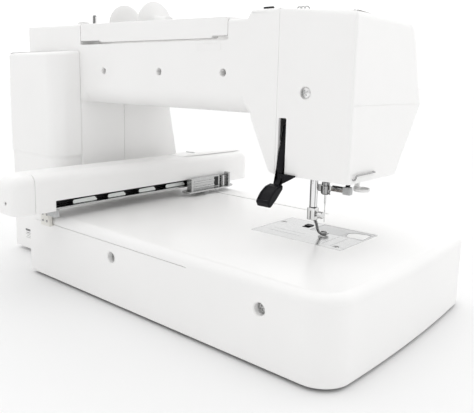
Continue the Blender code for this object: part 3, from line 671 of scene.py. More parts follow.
def hollow_profile(reach=20.0):
    """The same profile inside the walls, run out through the seam, the side and the bottom."""
    moved = []
    for x, z in case_outline(WALL):
        x = x + reach if x > CASE_RIGHT - WALL - 1 else x
        x = x - reach if x < SEAM + 1 else x
        z = z - reach if z < REAR_Z[0] + 1 else z
        moved.append((x, z))
    return moved


def ease(value):
    """0 to 1 with soft ends."""
    value = min(1.0, max(0.0, value))
    return value * value * (3 - 2 * value)


def rear_rim(x, z):
    """Radius of the shell's rear rim: wide under the arm, fine where it meets the head and the side."""
    if x < SEAM + 0.5 or x > CASE_RIGHT - 0.5:
        return EDGE
    under_arm = abs(z - ARM_BOTTOM) < 1.5 and HEAD_RIGHT - 1 < x < COLUMN_LEFT + 1
    if under_arm:
        reach = 10.0
        return COLUMN_EDGE + (ARM_FILLET - COLUMN_EDGE) * ease(min(x - HEAD_RIGHT, COLUMN_LEFT - x) / reach)
    if z > DIP_TOP - 3:
        return TOP_EDGE
    return COLUMN_EDGE if x > 0 else 1.2


def make_rear_cover():
    split = REAR_Y[0]
    shell = slab("rear_shell", dense(case_outline(), 5), "y", (split, REAR_Y[1]), EDGE, rear_rim, 8)
    pocket_x = (HANDLE_X[0] - 1.2, HANDLE_X[1] + 0.4)
    pocket_y, pocket_floor = (29.0, 70.0), 271.5
    hollow = prism("hollow", hollow_profile(), "y", (split - 10, REAR_Y[1] - WALL))
    # material stays round the handle's pocket and behind the arm's wide fillet
    walled = sharp_box("walled", grow(pocket_x, WALL), (pocket_y[0] - WALL, 80), (pocket_floor - WALL, 320))
    fillet_room = sharp_box("room", (HEAD_RIGHT - 4, COLUMN_LEFT + 4), (38, 80), (190, 222))
    cut(hollow, walled, fillet_room)
    pocket = prism("pocket", rounded_box(pocket_x, (pocket_floor, 310), 1.5, 3), "y", pocket_y)
    cut(
        shell,
        hollow,
        pocket,
        sharp_box("top_opening", LID_HOLE_X, (-40, 26), LID_HOLE_Z),
        sharp_box("foot_window", FOOT_HOLE_X, (-60, 54), FOOT_HOLE_Z),
    )
    cut(shell, *[screw_well(x, REAR_Y[1], z, 3.9, 6.0) for x, z in ARM_SCREWS])
    panel_x, panel_z = (-88.7, -57.6), (262.0, 269.0)
    frame_line = sharp_box("line", panel_x, (REAR_Y[1] - 0.25, REAR_Y[1] + 2), panel_z)
    inside = grow(panel_x, -0.35), (REAR_Y[1] - 2, REAR_Y[1] + 4), grow(panel_z, -0.35)
    cut(shell, cut(frame_line, sharp_box("inner", *inside)))
    stand_for(shell, "rear_cover")
    for i, (x, z) in enumerate(ARM_SCREWS):
        profile = [(3.5, -9), (3.5, -3.0), (3.9, -0.8), (4.5, -0.8), (4.5, -10), (1.5, -10), (1.5, -9)]
        cup = hollow_turned(f"arm_screw_cup_{i}", profile, (x, REAR_Y[1], z), "y", 40)
        finish_piece(cup, "machine", "white_shell")
        screw_head(f"arm_screw_{i}", (x, REAR_Y[1] - 6.4, z), 3.3, (0, 1, 0), "machine")


def column_front(z):
    """Front face of the column: it leans forward towards the bed."""
    return ARM_FRONT - max(0.0, COLUMN_BEND - max(z, BED_TOP)) * 0.21


def front_rim(x, z):
    return EDGE if x < SEAM + 0.5 or x > CASE_RIGHT - 0.5 else 3.0


def make_front_cover():
    split = FRONT_Y[1]
    arm = [p for p in case_outline() if p[0] < COLUMN_LEFT - 1]
    arm_outline = dense([(160, ARM_BOTTOM), (160, top_at(160))] + arm, 6)
    shell = slab("front_shell", arm_outline, "y", (ARM_FRONT, split), front_rim, EDGE, 5)
    profile = [
        (split, REAR_Z[0], 0),
        (split, CASE_TOP, 0),
        (ARM_FRONT, CASE_TOP, 3),
        (ARM_FRONT, COLUMN_BEND, 40),
        (column_front(BED_TOP), BED_TOP, 30),
        (column_front(BED_TOP), REAR_Z[0], 0),
    ]

    def column_rim(y, z):
        return EDGE if y > split - 0.5 or z < REAR_Z[0] + 0.5 or z > CASE_TOP - 4 else 3.0

    outline = dense(rounded(profile, 8), 6)
    column = lean_top(slab("column", outline, "x", (COLUMN_LEFT, CASE_RIGHT), column_rim, EDGE, 5))
    join(shell, column)
    inner = [
        (split + 20, REAR_Z[0] - 20, 0),
        (split + 20, CASE_TOP - WALL - 2, 0),
        (ARM_FRONT + WALL, CASE_TOP - WALL - 2, 0),
        (ARM_FRONT + WALL, COLUMN_BEND, 40),
        (column_front(BED_TOP) + WALL, BED_TOP, 30),
        (column_front(BED_TOP) + WALL, REAR_Z[0] - 20, 0),
    ]
    room = prism("room", rounded(inner, 8), "x", (COLUMN_LEFT + WALL, CASE_RIGHT + 20))
    arm_room = prism("arm_room", hollow_profile(), "y", (ARM_FRONT + WALL, split + 20))
    screen_x, _, screen_z = span("touch_screen")
    seat = rounded_box(grow(screen_x, 0.4), grow(screen_z, 0.4), 2.0, 4)
    cut(
        shell,
        room,
        arm_room,
        sharp_box("top_opening", LID_HOLE_X, (-88, 20), LID_HOLE_Z),
        sharp_box("foot_window", FOOT_HOLE_X, (-112, 20), FOOT_HOLE_Z),
        prism("screen_seat", seat, "y", (-99, -80)),
    )
    holes = []
    for node in ("start_stop_button", "needle_button", "thread_cutter_button"):
        x, _, z = span(node)
        holes.append(turned("hole", [(8.25, -105), (8.25, -85)], (mid(x), 0, mid(z)), "y", 48))
    cut(shell, *holes)
    stand_for(shell, "front_cover")
    # closes the neck's end where it stands proud of the head's narrower top
    wall_y = ARM_FRONT + WALL - 0.2
    shoulder = [(wall_y, 222), (wall_y, 295.2), (-50, 295.2), (-58, 284), (-74, 258), (wall_y + 5, 222)]
    end_wall = slab("neck_end_wall", shoulder, "x", (SEAM + 0.5, SEAM + 2.5), 0.2, 0.2, 1)
    finish_piece(end_wall, "machine", "white_shell")


HEAD_WAIST = 215.0
HEAD_TILT = 0.0688  # the head's top falls this much per millimetre towards its end
# (height, front y) of the head's front face, top to bottom
HEAD_FRONT = ((298.3, -60.0), (288.0, -68.0), (280.0, -72.5), (215.0, -94.0), (149.0, -62.5))
# (height, radius) of the corner between the head's front and its end
HEAD_TURN = ((400.0, 22.0), (215.0, 22.0), (149.0, 42.0))
HEAD_SCREW = (-188.4, 224.0)
GUIDE_ENDS = ((50.6, 152.6), (14.8, 156.2))  # (y, z) where the thread guide's wire enters the head's end


def between(table, value):
    """Straight-line reading of a table of (key, value) rows that run downwards."""
    for (high, a), (low, b) in zip(table, table[1:]):
        if value >= low:
            return a + (b - a) * (high - min(value, high)) / (high - low)
    return table[-1][1]


def head_top(y):
    """Height of the head's slightly crowned top over a point y."""
    crest = -14.0
    fall, reach = (1.0, 72.0) if y > crest else (4.0, 46.0)
    return FACE_Z[1] - fall * ((y - crest) / reach) ** 2


def head_ring(z, rear=2.5):
    """Plan of the head at a height: (x, y) with the front-left corner broadly rounded."""
    front, turn = between(HEAD_FRONT, z), between(HEAD_TURN, z)
    seam, end = SEAM - 0.3, FACE_X[0]
    return rounded([(seam, front, 0), (seam, FACE_Y[1], 0), (end, FACE_Y[1], rear), (end, front, turn)], 9)


def head_shell(name, inset, lowest):
    """The head's body as a loft upwards, ending in a softly rounded, crowned top."""
    heights = (lowest, 160, 175, 190, 202, 213.8, HEAD_WAIST, 216.2, 222, 232, 244, 256, 266, 274)
    rim, rear = 6.0, 2.5 + 2 * inset
    rings = []
    for z in heights:
        ring = head_ring(z, rear)
        ways = inset_ways(ring)
        rings.append([(x + w.x * inset, y + w.y * inset, z) for (x, y), w in zip(ring, ways)])
    start = heights[-1] + 6
    base = head_ring(start, rear)
    ways = inset_ways(base)
    for inward, upward in quarter(7):
        ring = []
        for (x, y), way in zip(base, ways):
            at_seam = x > SEAM - 1
            radius = rim if not at_seam or y < 0 else 2.0
            draw = inset + radius * inward
            # the front goes on leaning in as the rim rises
            slope_in = 0.35 * (head_top(y) - start - rim + radius * upward) if y < -20 else 0.0
            px = x + (0 if at_seam else way.x * draw)
            py = y + way.y * draw + slope_in
            top = head_top(py) - inset - HEAD_TILT * max(0.0, SEAM - px)
            ring.append((px, py, top - radius * (1 - upward)))
        rings.append(ring)
    return loft(name, rings)


def make_face_cover():
    shell = head_shell("head_shell", 0.0, HEAD_BOTTOM)
    hollow = head_shell("hollow", WALL, HEAD_BOTTOM - 20)
    through = sharp_box("through", (SEAM - 10, SEAM + 20), (-55, FACE_Y[1] - WALL), (HEAD_BOTTOM - 20, 284))
    join(hollow, through)
    slot = rounded_box((-169.6, -161.0), (140, 201), 1.2, 3)
    take_up = rounded_box((-193, -185), (196, 272), 3.9, 5)
    cut(
        shell,
        hollow,
        prism("lifter_slot", slot, "y", (50, 70)),
        prism("take_up_slot", take_up, "y", (-120, -60)),
        screw_well(HEAD_SCREW[0], FACE_Y[1], HEAD_SCREW[1], 5.4, 2.4),
        sharp_box("waist_line", (FACE_X[0] - 5, FACE_X[0] + 0.35), (-74, 55), about(HEAD_WAIST, 0.25)),
        *[turned("guide_hole", [(0.9, -240), (0.9, -231)], (0, y, z), "x", 20) for y, z in GUIDE_ENDS],
    )
    stand_for(shell, "face_cover")
    centre = (HEAD_SCREW[0], FACE_Y[1] - 0.6, HEAD_SCREW[1])
    screw_head("head_screw", centre, 4.4, (0, 1, 0), "machine", "chrome", 1.6, 30)
    # a dark sheet behind the lifter slot: painted shade inside the slot
    behind_slot = rounded_box((-171.5, -159.3), (151, 203), 1, 3)
    slot_shade = slab("lifter_slot_painted_shade", behind_slot, "y", (40, 41.2))
    finish_piece(slot_shade, "machine", "dark_void")
    plan = [(-159, -51.8, 3), (-159, 48, 3), (-222.4, 48, 3), (-222.4, -51.8, 34)]
    floor = slab("head_underside", rounded(plan, 6), "z", grow(span("head_floor")[2], -0.1), 0.4, 0.4, 2)
    window = rounded_box((-207.5, -150), (-40, 14), 3.2, 4)
    cut(
        floor,
        prism("window", window, "z", (140, 170)),
        sharp_box("lifter_room", (-172, -150), (10, 60), (140, 170)),
    )
    stand_for(floor, "head_floor")


def make_side_cover():
    x, y, z = span("side_cover")
    bottom_front = column_front(BED_TOP) + 1
    profile = [
        (y[1], z[0], 2),
        (y[1], z[1], 4),
        (ARM_FRONT + 1, z[1], 4),
        (ARM_FRONT + 1, COLUMN_BEND, 40),
        (bottom_front, BED_TOP, 30),
        (bottom_front, z[0], 2),
    ]
    side = slab("side_panel", dense(rounded(profile, 6), 10), "x", x, EDGE, 3.2, 6)
    _, wheel_y, wheel_z = span("handwheel")
    _, inlet_y, inlet_z = span("power_inlet")
    switch_y, switch_z = (12.7, 34.3), (51.7, 68.3)
    hub = (0, mid(wheel_y), mid(wheel_z))
    vent_x = grow(x, 5)
    vents = [rounded_box((-66, -12), (low, low + 3.2), 1.5, 4) for low in range(92, 173, 9)]
    cut(
        side,
        turned("hole", [(7, 240), (7, 290)], hub, "x", 48),
        sharp_box("inlet", (250, 280), grow(inlet_y, 0.3), grow(inlet_z, 0.3)),
        prism("switch", rounded_box(switch_y, switch_z, 1.5, 4), "x", (250, 280)),
    )
    cut(side, turned("dish", [(31.5, x[1] - 1.2), (32.5, x[1] + 4)], hub, "x", 72))
    cut(side, *[prism("vent", outline, "x", vent_x) for outline in vents])
    stand_for(side, "side_cover")
    # a dark sheet behind the vents: painted shade inside them
    behind_vents = rounded_box((-70, -8), (86, 174), 2, 3)
    finish_piece(slab("vent_painted_shade", behind_vents, "x", (x[0] - 3.2, x[0] - 1)), "machine", "dark_void")


HOUSING_RISE = 3.5  # the housing's top falls this much from the case to its rear edge


def make_rear_housing():
    """The box on the column's back, stepped in below, with a rounded top rim."""
    x, y, z = span("rear_housing")
    step_height, step_in, ramp_up, rim = 137.0, 1.8, 6.0, 5.0
    corners = [(x[1], y[0], 0), (x[1], y[1], 1.5), (x[0], y[1], 20), (x[0], y[0], 0)]
    outline = dense(rounded(corners, 10), 8)
    ways = inset_ways(outline)

    def ring(height, inset, drop=None):
        """Plan of the housing at a height, or at a drop below the sloping top where one is given."""
        points = []
        for (a, b), way in zip(outline, ways):
            on_seam = b < y[0] + 0.1
            at_side = a > x[1] - 1
            side_inset = inset * ease((height - 20) / 90) if at_side else inset
            rise = (z[1] - (b - y[0]) * HOUSING_RISE / (y[1] - y[0]) - drop) if drop is not None else height
            points.append((a + way.x * side_inset, b + (0 if on_seam else way.y * inset), rise))
        return points

    rings = [ring(z[0], step_in + 1), ring(z[0] + 0.4, step_in + 0.3)]
    rings += [ring(height, step_in) for height in (z[0] + 1, 30, 60, 90, 110, 120, step_height - ramp_up)]
    shares = [k / 5 for k in range(1, 6)]
    rings += [ring(step_height - ramp_up * (1 - share), step_in * (1 - ease(share))) for share in shares]
    rings += [ring(height, 0.0) for height in (160, 190, 220, 245)]
    rings += [ring(262, rim * inward, rim * (1 - upward)) for inward, upward in quarter(7)]
    housing = loft("rear_housing_shell", rings)
    left, right, rear, front = x[0] + WALL + 2, x[1] - WALL - 2, y[1] - WALL - 2, y[0] - 20
    inner = rounded([(right, front, 0), (right, rear, 0), (left, rear, 15), (left, front, 0)], 6)
    cut(housing, prism("hollow", inner, "z", (z[0] + WALL, z[1] - HOUSING_RISE - WALL - 1)))
    stand_for(housing, "rear_housing")
    face = y[1] - step_in
    panel = rounded_box((211, 229), (17, 33), 1, 3)
    label = slab("rating_label", panel, "y", (face, face + 0.12), 0.02, 0.05, 1)
    finish_piece(label, "machine", "white_shell")
    bars = ((15, 2.4), (15, 0.5), (13, 0.9), (15, 0.4), (12, 0.4), (14, 0.4))
    for i, (width, height) in enumerate(bars):
        top = 31 - 2.3 * i
        shape = rounded_box((212.5, 212.5 + width), (top - height, top), 0.1, 1)
        bar = slab(f"rating_label_line_{i}", shape, "y", (face + 0.12, face + 0.17), 0.01, 0.01, 1)
        finish_piece(bar, "machine", "mark_grey")


# ---------------------------------------------------------------- top of the machine

WINDER_X, WINDER_Y, WINDER_Z = span("winder_spindle")
WINDER = (mid(WINDER_X), mid(WINDER_Y), 0)


def make_top():
    x, y, _ = span("top_cover")
    top = CASE_TOP
    lid = slab("top_lid", rounded_box(x, y, 2.5, 4), "z", (top - WALL, top), 0.3, 0.8, 3)
    tray = sharp_box("tray", (30, 154), (-39, y[1] - 0.2), (262, top - 1.5))
    join(lean_top(lid), lean_top(tray))
    room = rounded_box((32, 152), (-37, 23.6), 5, 5)
    room_rim = slab("room", room, "z", (264, 300), 3.0, 0, 5)
    winder = rounded_box((192, 222), (-14, 2), 7, 6)
    ring = [(20, top - 1.2), (20.6, top - 1.2), (20.6, top + 2), (20, top + 2)]
    seat_seam = hollow_turned("seam", ring, WINDER)
    cut(lid, room_rim, prism("winder_room", winder, "z", (280, 305)), seat_seam)
    stand_for(lid, "top_cover")


def make_spool_parts():
    height = mid(span("spool_holder")[2])
    across = mid(span("spool_pin")[1])
    spindle = [(1.2, 44), (2.4, 44.6), (3, 46.2), (3, 149.4), (4.6, 149.6), (5, 150.1), (5, 151.3)]
    spindle += [(4.6, 151.7)]
    pin = turned("spool_spindle", spindle, (0, across, height), "x")
    stand_for(pin, "spool_pin", "satin_steel")
    centre = (-2.0, across, height)
    disc = [(3.4, 134), (5, 134), (5.5, 134.6), (6.5, 135.6), (23, 135.8), (26, 136.2), (27, 137)]
    disc += [(26.8, 138), (25.5, 138.5), (8, 138.8), (6, 139.6), (5.5, 141), (5.5, 147.4), (5, 148), (3.4, 148)]
    holder = hollow_turned("spool_disc", disc, centre, "x", 96)
    stand_for(holder, "spool_holder")
    cap = [(3.4, 55), (8, 55.1), (9.4, 55.8), (10, 57.2), (10, 74), (10.8, 76.4), (13.5, 78), (24, 79.6)]
    cap += [(27.4, 80.6), (28, 81.6), (27.4, 83), (25, 83.8), (3.4, 84)]
    stop = hollow_turned("spool_stop", cap, centre, "x", 96)
    stand_for(stop, "spool_cap")
    x, y, z = span("winder_base")
    base = block("winder_block", x, y, z, 6.5, 1.0, 5)
    stand_for(base, "winder_base")
    low = WINDER_Z[0]
    spindle = [(0.5, low), (5, low), (5, low + 1.2), (4, low + 1.6), (2.9, low + 2.2), (2.8, low + 9)]
    spindle += [(2.7, 314), (2.3, 315.5), (1, 316)]
    post = turned("winder_post", spindle, WINDER, "z", 40)
    stand_for(post, "winder_spindle", "dark_steel")
    key_x, key_y = (WINDER[0] - 4.6, WINDER[0] - 2.6), about(WINDER[1], 0.8)
    key = block("winder_key", key_x, key_y, (low + 2, 314), 0.4, 0.4, 3)
    finish_piece(key, "winder", "white_shell")
    x, y, z = span("winder_stopper")
    radius = (x[1] - x[0]) / 2
    stopper = [(radius - 0.6, z[0]), (radius, z[0] + 0.6), (radius, z[1] - 2.4), (radius - 0.5, z[1] - 1)]
    stopper += [(radius - 1.6, z[1] - 0.3), (radius - 3, z[1])]
    stand_for(turned("winder_stop", stopper, (mid(x), mid(y), 0), "z", 72), "winder_stopper")


def make_thread_guide():
    x, y, z = span("thread_guide_cover")
    profile = [(x[0], z[0], 0), (x[0], 302.4, 1.2), (x[0] + 2.0, z[1], 1)]
    profile += [(-127.5, 299.4, 2), (x[1], z[0], 0)]
    ridge = slab("thread_guide_ridge", rounded(profile, 5), "y", y, 2.0, 1.6, 5)
    opening = rounded_box((-148.6, -136.6), (297.6, 300.0), 1.1, 5)
    cut(ridge, prism("channel", opening, "y", grow(y, 5)))
    stand_for(ridge, "thread_guide_cover")
    # a dark plate inside the guide's channel: painted shade in the opening
    dark = rounded_box((-148.4, -136.8), (298.1, 299.9), 0.85, 5)
    eye = slab("thread_eye_painted_shade", dark, "y", (y[1] - 2, y[1] - 0.4), 0.1, 0.2, 2)
    finish_piece(eye, "machine", "dark_void")
    loop = ((34, 295), (36, 299.4), (41, 299.4), (44, 295))
    for i, x_at in enumerate((-165.9, -169.6, -173.9)):
        hook = wire(f"top_thread_hook_{i}", [(x_at, y_at, z_at) for y_at, z_at in loop], 0.7)
        finish_piece(hook, "machine", "satin_steel")


def make_handle():
    """The carrying handle: its grip is cut back below at both ends."""
    x, y, z = HANDLE_X, (48.0, HANDLE_Y[1]), HANDLE_Z
    low, end_low, top = z[0] + 0.2, z[0] + 2.4, CASE_TOP
    profile = [
        (x[0], end_low, 1.2), (x[0] + 20, end_low, 0.8), (x[0] + 21.5, low, 0.8),
        (x[1] - 42, low, 0.8), (x[1] - 36, end_low, 0.8), (x[1], end_low, 1.2),
        (x[1], top, 0.6), (x[0], top, 2.0),
    ]
    grip = lean_top(slab("handle_grip", dense(rounded(profile, 4), 20), "y", y, 0.7, 0.7, 4))
    end_x = (x[0] + 0.2, x[0] + 12), (x[1] - 12, x[1] - 0.2)
    ends = [block("end", pair, (35, 51), (277.5, 288.5), 2.0, 1.4, 4) for pair in end_x]
    together(grip, *ends)
    stand_for(grip, "carrying_handle")


# ---------------------------------------------------------------- hoop carriage

CAR_X, _, CAR_Z = span("carriage_cover")
CAR_Y = (span("carriage_cover")[1][0], span("carriage_cap_rear")[1][1])
CAR_SLOT_Y, CAR_SLOT_TOP = (-134.0, 141.0), 99.3
CAP_SEAM = 165.0  # where the rear cap meets the carriage's cover


def carriage_length(name, ends, round_front, round_rear):
    """A length of the carriage's shell; a rounded end is a quarter of a cushion shape."""
    soft, crown = 15.0, 10.0  # radii of a rounded end and of the long top edges
    base, top = CAR_Z

    def section(y, draw, sink):
        a, b = CAR_X[0] + draw, CAR_X[1] - draw
        points = [(a, y, base), (b, y, base)]
        points += [(b - crown * inward, y, top - sink - crown * (1 - up)) for inward, up in quarter(8)]
        points += [(a + crown * inward, y, top - sink - crown * (1 - up)) for inward, up in quarter(8)[::-1]]
        return points

    def rounded_end(end, way):
        return [
            section(end + way * soft * inward, soft * 0.72 * (1 - up), soft * (1 - up))
            for inward, up in quarter(9)
        ]

    rings = []
    if round_front:
        rings += rounded_end(ends[0], 1)
    else:
        rings += [section(ends[0], 0.5, 0.5), section(ends[0] + 0.25, 0.15, 0.15), section(ends[0] + 0.6, 0, 0)]
    low, high = ends[0] + 20, ends[1] - 20
    if high > low:
        count = max(1, round((high - low) / 30))
        rings += [section(low + (high - low) * k / count, 0, 0) for k in range(count + 1)]
    if round_rear:
        rings += rounded_end(ends[1], -1)[::-1]
    else:
        rings += [section(ends[1] - 0.6, 0, 0), section(ends[1] - 0.25, 0.15, 0.15), section(ends[1], 0.5, 0.5)]
    shell = loft(name, rings)
    inside = rounded_box(grow(CAR_X, -2.5), grow(CAR_Y, -3.0), 13, 8)
    hollow = slab("hollow", inside, "z", (CAR_Z[0] - 10, CAR_Z[1] - 2.5), 0, 9.0, 6)
    return cut(shell, hollow)


def make_carriage_cover():
    """The carriage's long cover with its slotted mouth, and the cap on its rear end."""
    cover = carriage_length("carriage_shell", (CAR_Y[0], CAP_SEAM), True, False)
    mouth = rounded_box(CAR_SLOT_Y, (70, CAR_SLOT_TOP), 0.8, 2)
    cut(cover, prism("mouth", mouth, "x", (CAR_X[0] - 5, CAR_X[0] + 12)))
    stand_for(cover, "carriage_cover")
    cap = carriage_length("carriage_rear_cap", (CAP_SEAM + 0.3, CAR_Y[1]), False, True)
    cut(cap, screw_well(94, CAR_Y[1], 100, 1.8, 1.8))
    stand_for(cap, "carriage_cap_rear")
    screw_head("carriage_end_screw", (94, CAR_Y[1] - 0.9, 100), 1.7, (0, 1, 0), "carriage", "dark_steel", 0.9)
    top = span("carriage_cap_front")[2][1]
    # a grey strip set flush in the hood: painted shade of a narrow slit
    outline = rounded_box((87, 103), (-86.2, -83.8), 0.6, 3)
    slit_shade = slab("carriage_slit_painted_shade", outline, "z", (top - 0.8, top + 0.02), 0.05, 0.05, 1)
    finish_piece(slit_shade, "carriage", "grey_plastic")


def make_carriage_hood():
    """The raised front hood, which follows the cover's rounded top."""
    x = grow(CAR_X, -1.0)
    top = span("carriage_cap_front")[2][1]
    base = CAR_Z[1]
    stations = [(-55.0, 0.2), (-57, 0.5), (-60, 0.8), (-68, 1.4), (-80, 2.1), (-92, 2.7), (-100, 2.95)]
    stations += [(-130, 3.0), (-156, 3.0), (-164, 2.7), (-170, 1.8), (-174, 0.6), (-176, 0.1)]
    hood = loft("carriage_hood", [hood_ring(x, y, base, rise) for y, rise in stations])
    cut(hood, screw_well(95, -136, top, 1.6, 1.0, (0, 0, 1)))
    stand_for(hood, "carriage_cap_front")


def hood_ring(x, y, base, rise):
    """One section of the hood: flat on the cover's top, with soft sides."""
    soft = 5.0
    left, right = x[0] + 7.5 - rise, x[1] - 7.5 + rise
    floor = base + 0.05
    points = [(left + soft, y, floor), (right - soft, y, floor)]
    points += [(right - soft * inward, y, floor + rise * up) for inward, up in quarter(6)]
    points += [(left + soft * inward, y, floor + rise * up) for inward, up in quarter(6)[::-1]]
    return points


def make_carriage_rail():
    flange_z = (89.4, 91.4)
    long = rounded_box((76.5, 112), (-174, 174), 0.5, 2)
    flange = slab("rail_flange", long, "z", flange_z, 0.3, 0.3, 2)
    short = rounded_box((74.2, 80), grow(CAR_SLOT_Y, -0.4), 0.4, 2)
    lip = slab("lip", short, "z", flange_z, 0.3, 0.3, 2)
    post = block("post", (85, 105), about(FRONT_SLOT_Y, 0.8), (52, 90), 0.3, 0.2, 1)
    together(flange, lip, post)
    stand_for(flange, "carriage_rail", "satin_steel")
    # a dark sheet inside the carriage, seen through its mouth: painted shade inside the mouth
    web = slab("rail_web", rounded_box((-172, 172), (91.4, 114), 0.5, 2), "x", (89, 91), 0.2, 0.2, 1)
    finish_piece(web, "carriage", "dark_void")
    windows = ((118, 83), (70, 41), (23, -7), (-22, -59), (-72, -104), (-120, -132))
    for i, (rear, front) in enumerate(windows):
        shape = [(front, 91.9, 1.2), (rear, 91.9, 1.8), (rear - 2, 96.4, 1.5), (front + 5, 96.8, 1.5)]
        plate = slab(f"rail_window_{i}", rounded(shape, 4), "x", (77.6, 78.4), 0.2, 0.1, 2)
        finish_piece(plate, "carriage", "pale_glass")


def make_carriage_bracket():
    foot = block("carriage_foot", (80, 96), (132.6, 139), (79, 89.1), 1.0, 0.6)
    stand_for(foot, "carriage_bracket", "grey_plastic")
    plate = block("carriage_foot_plate", (95, 112), (132.6, 137.4), (65.6, 89.0), 0.8, 0.5)
    tongue = block("tongue", (92, 106), (126, 134), (67.2, 67.5), 0.1, 0.1)
    together(plate, tongue)
    finish_piece(plate, "carriage", "ivory_shell")
    for i, (x, z) in enumerate(((99.0, 79.0), (107.0, 79.0), (99.0, 71.5), (107.0, 71.5))):
        screw_head(f"carriage_foot_screw_{i}", (x, 138.2, z), 1.5, (0, 1, 0), "carriage", "satin_steel", 0.9)


def make_hoop_connector():
    plan = [(75, -141, 1.5), (75, -50, 1.5), (68, -46.5, 2), (58.5, -49, 3), (58, -124, 4), (64, -141, 2)]
    base = slab("connector_base", rounded(plan, 4), "z", (83, 85.2), 0.3, 0.4, 2)
    wall = block("wall", (68, 70.5), (-132, -55), (84, 101), 0.4, 0.4, 2)
    tabs = [
        slab("tab", rounded_box(tab_y, tab_z, 1.2, 4), "x", (61.5, 70), 0.3, 0.3, 2)
        for tab_y, tab_z in (((-58, -54.6), (84, 102)), ((-132, -128.4), (84, 104)))
    ]
    ribs = [block("rib", (65.6, 68.6), (-104.5, -59), (low, low + 2.4), 0.8, 0.8, 3) for low in (87.0, 93.6)]
    arm = block("arm", (69, 77.2), (-127, -60), (92.4, 98.4), 0.6, 0.6, 2)
    together(base, wall, *tabs, arm, *ribs)
    stand_for(base, "hoop_connector", "satin_steel")
    # a dark block in the gap between the wall and the ribs: painted shade
    gap = block("connector_gap_painted_shade", (67.2, 68.2), (-113.5, -106), (86, 99), 0.4, 0.3, 2)
    finish_piece(gap, "hoop_slide", "dark_void")
    pin = turned("connector_pin", [(1.6, 84), (1.6, 99), (1.1, 100)], (65.2, -121.5, 0), "z", 32)
    finish_piece(pin, "hoop_slide", "chrome")


# ---------------------------------------------------------------- sewing head

NEEDLE_X, NEEDLE_Y = mid(span("needle")[0]), mid(span("needle")[1])
PRESSER_Y = mid(span("presser_bar")[1])


def make_bars():
    for name, y_at, end, radius, bevel in (
        ("needle", NEEDLE_Y, 2.8, 3.2, 0.5), ("presser", PRESSER_Y, 3.5, 3.8, 0.4)
    ):
        low, high = span(f"{name}_bar")[2]
        shape = [(end, low), (radius, low + bevel), (radius, high)]
        rod = turned(f"{name}_rod", shape, (NEEDLE_X, y_at, 0), "z", 40)
        stand_for(rod, f"{name}_bar", "chrome")
    low, high = span("needle_clamp")[2]
    shape = [(3.6, low), (4.6, low + 1.0), (4.8, low + 2), (4.8, high - 4), (4.1, high - 3.4)]
    shape += [(4.1, high - 0.4), (3.7, high)]
    clamp = turned("needle_clamp_body", shape, (NEEDLE_X, NEEDLE_Y, 0), "z", 48)
    lug = block("lug", (NEEDLE_X + 2.5, NEEDLE_X + 8), about(NEEDLE_Y, 3), (123.8, 131), 1.2, 0.8, 4)
    bend = ((-4, 1, 123.4), (-6.5, 2, 122.2), (-7.4, 4, 122.4))
    hook = wire("hook", [(NEEDLE_X + dx, NEEDLE_Y + dy, z_at) for dx, dy, z_at in bend], 0.55)
    together(clamp, lug, hook)
    stand_for(clamp, "needle_clamp", "dark_steel")
    knob = [(1.4, 8.3), (3.2, 8.3), (3.4, 8.8), (3.4, 14.6), (3.1, 15.2), (2.2, 15.6)]
    screw = turned("needle_clamp_knob", knob, (NEEDLE_X, NEEDLE_Y, 127.5), "x", 48)
    cut(screw, sharp_box("slot", (NEEDLE_X + 14.9, NEEDLE_X + 17), about(NEEDLE_Y, 0.4), (123, 132)))
    stand_for(screw, "needle_clamp_screw", "chrome")
    tip, top = span("needle")[2]
    shape = [(0.1, tip), (0.35, tip + 1.8), (0.45, tip + 4), (0.5, tip + 8), (0.5, 110), (0.75, 111)]
    shape += [(1.0, 112.4), (1.0, top)]
    needle = turned("needle_body", shape, (NEEDLE_X, NEEDLE_Y, 0), "z", 24)
    stand_for(needle, "needle", "chrome")


def make_presser_foot():
    x, y = (NEEDLE_X - 4.6, NEEDLE_X + 4.6), (-0.5, 8.5)
    top = span("presser_foot")[2][1]
    holder = block("foot_holder", x, y, (98.5, top), 1.8, 0.8, 4)
    cut(holder, sharp_box("split", about(NEEDLE_X, 0.5), (2, 12), (95, top - 3)))
    edge = [(4.0, top - 1.6), (4.6, top - 1.2), (4.6, top - 0.4), (4.3, top)]
    collar = turned("collar", edge, (NEEDLE_X, PRESSER_Y, 0), "z", 40)
    together(holder, collar)
    stand_for(holder, "presser_foot", "chrome")
    path = [(2.5, 101.0), (0.5, 98.0), (-2.5, 94.6), (-4.4, 91.0), (-6.0, 87.0), (-8.6, 83.2), (-12.4, 80.9)]
    stem = wire("foot_stem", [(NEEDLE_X, y_at, z_at) for y_at, z_at in path], 1.7, 16, 0.7)
    finish_piece(stem, "presser", "dark_steel")
    edge = [(3.5, 80.0), (3.9, 79.6), (5.0, 79.6), (5.4, 80.0), (5.4, 80.9), (5.0, 81.3), (3.9, 81.3)]
    edge += [(3.5, 80.9)]
    ring = hollow_turned("foot_ring", edge, (NEEDLE_X, NEEDLE_Y, 0), "z", 64)
    finish_piece(ring, "presser", "dark_steel")
    centre_z = mid(span("foot_screw")[2])
    head = [(2, -12), (3.2, -12), (3.6, -11.6), (3.6, -7.0), (3.3, -6.6), (2, -6.6), (2, -4.9), (1.2, -4.9)]
    screw = turned("foot_thumbscrew", head, (NEEDLE_X, PRESSER_Y, centre_z), "x", 48)
    cut(screw, sharp_box("slot", (NEEDLE_X - 14, NEEDLE_X - 11), (-2, 10), about(centre_z, 0.55)))
    stand_for(screw, "foot_screw", "chrome")


